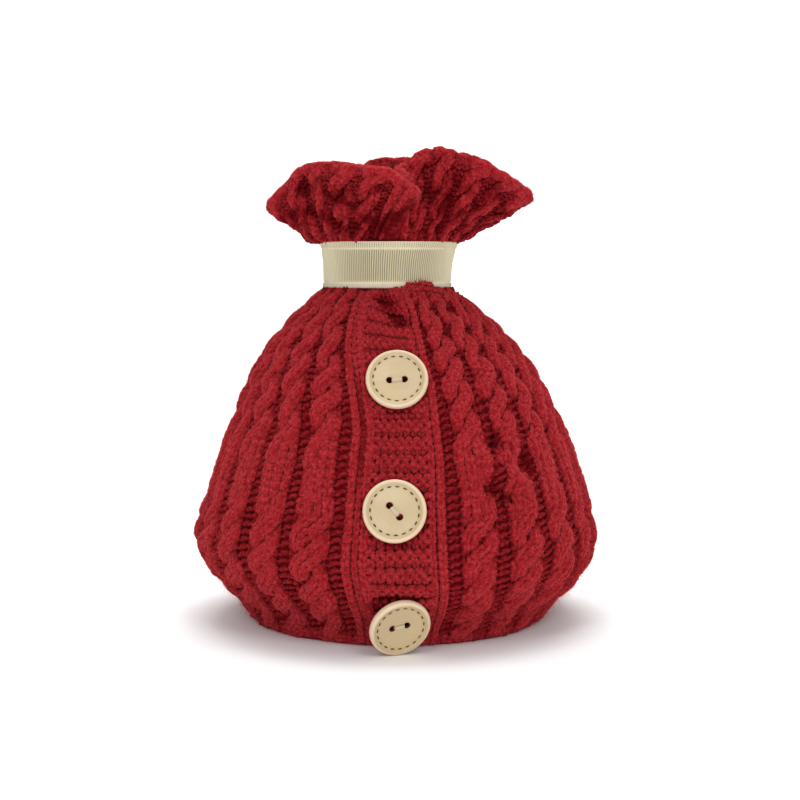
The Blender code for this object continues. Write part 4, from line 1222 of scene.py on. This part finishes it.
class COSY_OT_gutters(bpy.types.Operator):
    """Knit the purl gutters between the cables"""
    bl_idname = "cosy.gutters"
    bl_label = "Knit the gutters"

    def execute(self, context):
        rng = np.random.default_rng(21)
        middle, rows = crossed(gutter_stitches(), np.arange(BODY_ROWS) + 0.5)
        for stitch, first, last, _ in SLOTS:
            whole = (np.abs(middle - stitch) > 0.1) | (rows < first) | (rows > last)
            middle, rows = middle[whole], rows[whole]
        painted_shading = 0.4 + 0.3 * smooth(rows, 36.0, 44.0)[:, None]     # painted shade, darker up towards the neck
        knit(context, "gutters_body", [
            purl_rows(middle - 1.3, middle + 1.3, rows, context.scene.cosy_knitting, rng,
                      level=0.5, swing=0.1, thick=1.1, lean=0.22, knobbed=0.42, painted_shading=painted_shading)],
            sides=4)
        return {"FINISHED"}


class COSY_OT_panel(bpy.types.Operator):
    """Knit the button panel: garter ridges between plain columns"""
    bl_idname = "cosy.panel"
    bl_label = "Knit the button panel"

    def execute(self, context):
        knitting = context.scene.cosy_knitting
        rng = np.random.default_rng(31)
        frill = np.arange(BAND_TOP_ROW + 0.3, TOP_ROW)
        rows = np.concatenate([np.arange(0, BODY_ROWS - 1), frill]) + 0.3
        parts = []
        seam, middle, reach, sink = SEAM
        sunk = sink * np.exp(-((rows - middle) / reach) ** 4)
        for stitch, level, slim, painted_shading in PANEL_COLUMNS:
            level = level - sunk * (stitch == seam)
            parts.append(knit_stitches(stitch, rows, level, knitting, rng, slim=slim, painted_shading=painted_shading))
        stitches, row = crossed(np.arange(*RIDGE_STITCHES, 0.95), frill + 0.3)
        parts.append(knit_stitches(stitches, row, 1.3, knitting, rng, painted_shading=0.35))
        ridges = np.arange(0.9, BODY_ROWS - 1.5, RIDGE_PITCH)
        teeth, between = crossed(np.arange(*RIDGE_STITCHES, 0.93), ridges + 1.35)
        level = 1.4 + 0.5 * (1.0 - smooth(between, *RIDGE_DEPTH_ROWS))
        parts.append(knit_stitches(teeth, between, level, knitting, rng, slim=0.8, tall=0.8,
                                   painted_shading=0.25))
        knit(context, "panel_columns", parts)
        start = np.full(len(ridges), RIDGE_STITCHES[0] - 0.35)
        end = start + RIDGE_STITCHES[1] - RIDGE_STITCHES[0] + 0.3
        knit(context, "panel_ridges", [
            purl_rows(start, end, ridges + row, knitting, rng, level, rings=40, shift=shift,
                      swing=0.24, thick=1.02, painted_shading=-0.35, knobbed=0.15)
            for row, shift, level in RIDGE_YARNS])
        return {"FINISHED"}


class COSY_OT_frill(bpy.types.Operator):
    """Knit the frill above the band, outside and inside"""
    bl_idname = "cosy.frill"
    bl_label = "Knit the frill"

    def execute(self, context):
        knitting = context.scene.cosy_knitting
        rng = np.random.default_rng(41)
        rows = BAND_TOP_ROW + CROSSING_ROWS * np.arange(-1.0, 4.0)
        knit(context, "frill_cables", [strands(crest_stitches(), rows, knitting, rng)])
        middle, rows = crossed(gutter_stitches(), BAND_TOP_ROW + np.arange(0.2, FRILL_ROWS, 0.72))
        knit(context, "frill_gutters", [purl_rows(middle - 1.2, middle + 1.2, rows, knitting, rng,
                                                  level=0.3, painted_shading=0.15)], sides=4)
        length = 2 * HALF_ROUND / INSIDE_YARNS
        start, rows = crossed(length * np.arange(INSIDE_YARNS) - HALF_ROUND,
                              BAND_TOP_ROW + np.arange(FRILL_ROWS) + 0.4)
        knit(context, "frill_inside", [purl_rows(start, start + length, rows, knitting, rng,
                                                 rings=24, thick=1.0, inner=True)], sides=4)
        return {"FINISHED"}


class COSY_OT_edges(bpy.types.Operator):
    """Chain the hem, the rim and the sides of the slots, and knit the lip over the band"""
    bl_idname = "cosy.edges"
    bl_label = "Chain the edges"

    def execute(self, context):
        knitting = context.scene.cosy_knitting
        rng = np.random.default_rng(51)
        first, last, rows, level = np.array(LIP_ROWS).T
        knit(context, "neck_lip", [
            purl_rows(first, last, rows, knitting, rng, level[:, None], rings=56, swing=0.12,
                      thick=1.15, painted_shading=-0.3, knobbed=0.2)])
        knit(context, "hem_edge", [edge_chain(*HEM_CHAIN, knitting, rng, bumpy=0.0)])
        knit(context, "rim_edge", [edge_chain(*chain, knitting, rng, bumpy=0.2)
                                   for chain in RIM_CHAINS])
        knit(context, "slot_edges", [
            knit_stitches(slit + side * beside, np.arange(first, last) + 0.3, level, knitting,
                          rng, slim=0.9)
            for slit, first, last, _ in SLOTS for side in (-1, 1) for beside, level in SLOT_WALES])
        return {"FINISHED"}


class COSY_OT_fibres(bpy.types.Operator):
    """Brush stray fibres out of the yarn"""
    bl_idname = "cosy.fibres"
    bl_label = "Brush the yarn"

    def execute(self, context):
        knitting = context.scene.cosy_knitting
        pieces = [context.scene.objects[name] for name in KNITTED]
        length, width = knitting.fibre_length / MM, knitting.fibre_width / MM
        rng = np.random.default_rng(61)
        fuzz = finish("Red yarn, stray fibres", context)
        counts = (knitting.short_fibres, knitting.long_fibres)
        for name, count, (longer, wider, rises) in zip(FIBRES, counts, FIBRE_SHAPES):
            stray_fibres(name, pieces, count, longer * length, wider * width, rises, rng, fuzz)
        return {"FINISHED"}


class COSY_OT_ground(bpy.types.Operator):
    """Lay the cloth behind the stitches, as one sheet with its two slots"""
    bl_idname = "cosy.ground"
    bl_label = "Lay the ground cloth"

    def execute(self, context):
        # a column to each stitch, but one at either side of a slot and none in it
        columns = np.arange(-HALF_ROUND, HALF_ROUND)
        columns = columns[np.abs(np.abs(columns) - SLOT_STITCH) > 0.6]
        lips = [s * (SLOT_STITCH + e) for s in (-1, 1) for e in (-SLOT_LIP, SLOT_LIP)]
        columns = np.sort(np.concatenate([columns, lips]))
        rows = np.concatenate([np.arange(0, BODY_ROWS + 1), [54, 56],
                               np.arange(BAND_TOP_ROW, TOP_ROW + 1)]).astype(float)
        u, v = np.meshgrid(columns, rows)
        _, _, wall = by_row(CLOTH, v)
        outer, _ = lay(u, v, -GROUND_DROP)
        inner, _ = lay(u, v, -wall)
        outer[0, :, 2] = inner[0, :, 2] = 0.0
        high, wide = u.shape
        # the places of both layers, the first column again at the end to close the round
        place = np.arange(2 * high * (wide + 1)).reshape(2, high, wide + 1)
        whole = np.ones((high - 1, wide), bool)
        edges = [place[:, 0, ::-1], place[:, -1]]
        for slit, first, last, _ in SLOTS:
            left = np.searchsorted(columns, slit) - 1
            low, top = np.searchsorted(rows, (first, last))
            whole[low:top, left] = False
            up = place[:, low:top + 1]
            edges.append(np.concatenate([up[..., left], up[:, ::-1, left + 1], up[:, :1, left]], 1))
        faces = [corners(place[0])[whole], corners(place[1, ::-1])[whole[::-1]]]
        loops = np.concatenate(faces + [corners(edge)[0] for edge in edges]).ravel()
        layer, row, column = np.unravel_index(loops, place.shape)
        points = np.concatenate([outer.reshape(-1, 3), inner.reshape(-1, 3)])
        ground = new_piece("ground_cloth", points, (layer * high + row) * wide + column % wide,
                           np.arange(0, len(loops), 4), finish("Red yarn, back", context))
        chart = np.append(columns, HALF_ROUND)
        add_map(ground, "chart", np.stack([chart[column], rows[row]], -1))
        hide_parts("knitted_cosy")
        return {"FINISHED"}


class COSY_OT_band(bpy.types.Operator):
    """Weave the ribbed elastic band round the neck"""
    bl_idname = "cosy.band"
    bl_label = "Weave the band"

    def execute(self, context):
        notions = context.scene.cosy_notions
        neck = np.array(NECK)
        inside = [(z, np.interp(z, neck[:, 0], neck[:, 1]) + BAND_CLEARANCE, 0.0)
                  for z in BAND_INSIDE]
        columns = notions.ribs * RIB_STEPS
        step = np.arange(columns + 1)
        height, radius, ribbed = np.repeat(np.array(BAND + inside + BAND[:1]).T[..., None],
                                           columns + 1, axis=2)
        groove = np.cos(math.pi * step / RIB_STEPS) ** 2 * np.ones_like(height)
        # the ribs wander sideways a little, and the band is pulled more here and there
        wander = 0.25 * np.sin(2 * math.pi * 31 * step / columns + height / 4)
        angle = 2 * math.pi * (step + wander) / columns
        angle[:, -1] = angle[:, 0] + 2 * math.pi
        pulled = 0.05 * np.sin(5 * angle + 1.0) * (ribbed > 0)
        radius = radius - ribbed * groove * notions.rib_depth / MM + pulled
        lean = np.interp(height, neck[:, 0], neck[:, 2])
        points = np.stack([lean + radius * np.sin(angle), -radius * np.cos(angle), height], -1)
        chart = np.stack([step / RIB_STEPS * np.ones_like(height), height], -1)
        band = quilted("band", [(points, chart)], finish("Beige elastic", context),
                       sharp=80.0)
        x, y, z = places_of(band).T
        around = np.hypot(x - np.interp(z, neck[:, 0], neck[:, 2]), y)
        full, _ = by_row(BAND, z)
        # painted shade in the grooves between the ribs, by depth; the pale selvage below is marked
        # -1
        deep = np.clip((full - around) / (notions.rib_depth / MM), 0, 1)
        add_values(band, "deep", np.where(z < SELVAGE_TOP, -1.0, deep))
        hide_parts("elastic_band")
        return {"FINISHED"}


class COSY_OT_buttons(bpy.types.Operator):
    """Turn the wooden buttons and burn the ring of dashes into each"""
    bl_idname = "cosy.buttons"
    bl_label = "Turn the buttons"

    def execute(self, context):
        notions = context.scene.cosy_notions
        start = 2 * math.pi * np.arange(notions.marks) / notions.marks
        reach = notions.mark_length / MM / MARK_RADIUS
        angle = start[:, None] + reach * np.linspace(-0.5, 0.5, len(MARK_TAPER))
        marks = np.stack([MARK_RADIUS * np.cos(angle), MARK_RADIUS * np.sin(angle),
                          np.full(angle.shape, MARK_HEIGHT)], -1)
        rng = np.random.default_rng(71)
        for name, place, *turns in BUTTONS:
            axes = button_axes(*turns)
            shift = rng.uniform(-40, 40, 2)     # another place in the wood's grain for each
            grids = [(place + grid @ axes, grid[..., :2] + shift) for grid in turned_button()]
            button = quilted("wooden_button_" + name, grids, finish("Pale wood", context),
                             sharp=60.0)
            x, y, _ = ((places_of(button) - place) @ axes.T).T
            # painted shade on the ring inside the rim, painted highlight on the rim, painted shade
            # on the walls of the holes
            painted_wood_shading, = by_row(RIM_PAINTED_SHADING, np.hypot(x, y))
            wall = np.hypot(np.abs(x) - HOLE_OFFSET, y) < HOLE_RADIUS + 0.02
            add_values(button, "deep", np.where(wall, HOLE_WALL_SHADE, painted_wood_shading))
            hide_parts("button_" + name)
            radius = MARK_WIDTH / 2 * np.array(MARK_TAPER)
            radius = radius * rng.uniform(0.85, 1.1, (notions.marks, 1))
            facing = np.broadcast_to(axes[2], marks.shape)
            yarns("burnt_marks_" + name, place + marks @ axes, radius, facing,
                  np.zeros(radius.shape), 8, finish("Burnt marks", context), "pale_wood",
                  roundness=MARK_FLATNESS)
        return {"FINISHED"}


class COSY_OT_threads(bpy.types.Operator):
    """Sew each button on with a few strands of thread"""
    bl_idname = "cosy.threads"
    bl_label = "Sew the buttons on"

    def execute(self, context):
        count = context.scene.cosy_notions.thread_strands
        rng = np.random.default_rng(81)
        half = np.array(THREAD)
        path = np.concatenate([half[:0:-1] * (-1, 1), half])
        across = (np.arange(count) - (count - 1) / 2) * THREAD_SPACING
        drawn = np.clip(1.0 - (path[:, 0] / 5.0) ** 2, 0.3, 1.0)    # together in the holes
        for name, place, *turns in BUTTONS:
            axes = button_axes(*turns)
            sway = rng.normal(0, 0.05, (count, len(path)))
            rise = rng.uniform(-0.06, 0.12, (count, 1)) - 0.12 * np.abs(across[:, None])
            local = np.stack([np.broadcast_to(path[:, 0], sway.shape),
                              across[:, None] * drawn + sway, path[:, 1] + rise], -1)
            radius = np.full(sway.shape, THREAD_RADIUS)
            facing = np.broadcast_to(axes[2], local.shape)
            # painted shade on the thread as it goes down into a hole
            deep = np.clip(-(path[:, 1] + 1.85) / 0.5, 0, 1) * np.ones(sway.shape)
            thread = yarns("sewing_thread_" + name, place + local @ axes, radius, facing,
                           deep, 8, finish("Cream thread", context), "cream_thread")
            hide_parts("thread_" + name)
        return {"FINISHED"}


class COSY_OT_stage(bpy.types.Operator):
    """Set the floor, the lights and the camera"""
    bl_idname = "cosy.stage"
    bl_label = "Set the studio"

    def execute(self, context):
        scene = context.scene
        mesh = bpy.data.meshes.new("floor")
        points = [(x, y, z) for y, z in SWEEP for x in (-FLOOR_HALF, FLOOR_HALF)]
        faces = [(2 * k, 2 * k + 1, 2 * k + 3, 2 * k + 2) for k in range(len(SWEEP) - 1)]
        mesh.from_pydata(points, [], faces)
        mesh.shade_smooth()
        mesh.materials.append(finish("Studio floor", context))
        put("floor", mesh)
        for name, place, target, size, power in LAMPS:
            data = bpy.data.lights.new(name, "AREA")
            data.size = size
            data.energy = power
            aim = Vector(target) - Vector(place)
            put(name, data, place).rotation_euler = aim.to_track_quat("-Z", "Y").to_euler()
        world = bpy.data.worlds.new("Studio")
        world.use_nodes = True
        background = world.node_tree.nodes["Background"]
        background.inputs["Color"].default_value = (1, 1, 1, 1)
        background.inputs["Strength"].default_value = WORLD_LIGHT
        scene.world = world
        lens = bpy.data.cameras.new("camera")
        lens.lens = CAMERA_LENS
        lens.sensor_width = 36.0
        camera = put("camera", lens, CAMERA_PLACE)
        camera.rotation_euler = (math.radians(90 - CAMERA_PITCH), 0.0, 0.0)
        scene.camera = camera
        scene.view_settings.view_transform = "Standard"
        return {"FINISHED"}


OPERATORS = (COSY_OT_cables, COSY_OT_gutters, COSY_OT_panel, COSY_OT_frill, COSY_OT_edges,
             COSY_OT_fibres, COSY_OT_ground, COSY_OT_band, COSY_OT_buttons, COSY_OT_threads,
             COSY_OT_stage)


class COSY_PT_sidebar(bpy.types.Panel):
    """The tea cosy's sizes, colours and steps"""
    bl_label = "Tea cosy"
    bl_space_type = "VIEW_3D"
    bl_region_type = "UI"
    bl_category = "Tea cosy"

    def draw(self, context):
        scene = context.scene
        for settings in (scene.cosy_knitting, scene.cosy_notions, scene.cosy_colours):
            box = self.layout.box()
            for name in type(settings).__annotations__:
                box.prop(settings, name)
        for step in OPERATORS:
            self.layout.operator(step.bl_idname)


CLASSES = (CosyKnitting, CosyNotions, CosyColours) + OPERATORS + (COSY_PT_sidebar,)


def register():
    for made in CLASSES:
        bpy.utils.register_class(made)
    bpy.types.Scene.cosy_knitting = bpy.props.PointerProperty(type=CosyKnitting)
    bpy.types.Scene.cosy_notions = bpy.props.PointerProperty(type=CosyNotions)
    bpy.types.Scene.cosy_colours = bpy.props.PointerProperty(type=CosyColours)


def unregister():
    for name in ("cosy_knitting", "cosy_notions", "cosy_colours"):
        delattr(bpy.types.Scene, name)
    for made in reversed(CLASSES):
        bpy.utils.unregister_class(made)


def main():
    register()
    for step in OPERATORS:
        group, name = step.bl_idname.split(".")
        getattr(getattr(bpy.ops, group), name)()


if __name__ == "__main__":
    main()
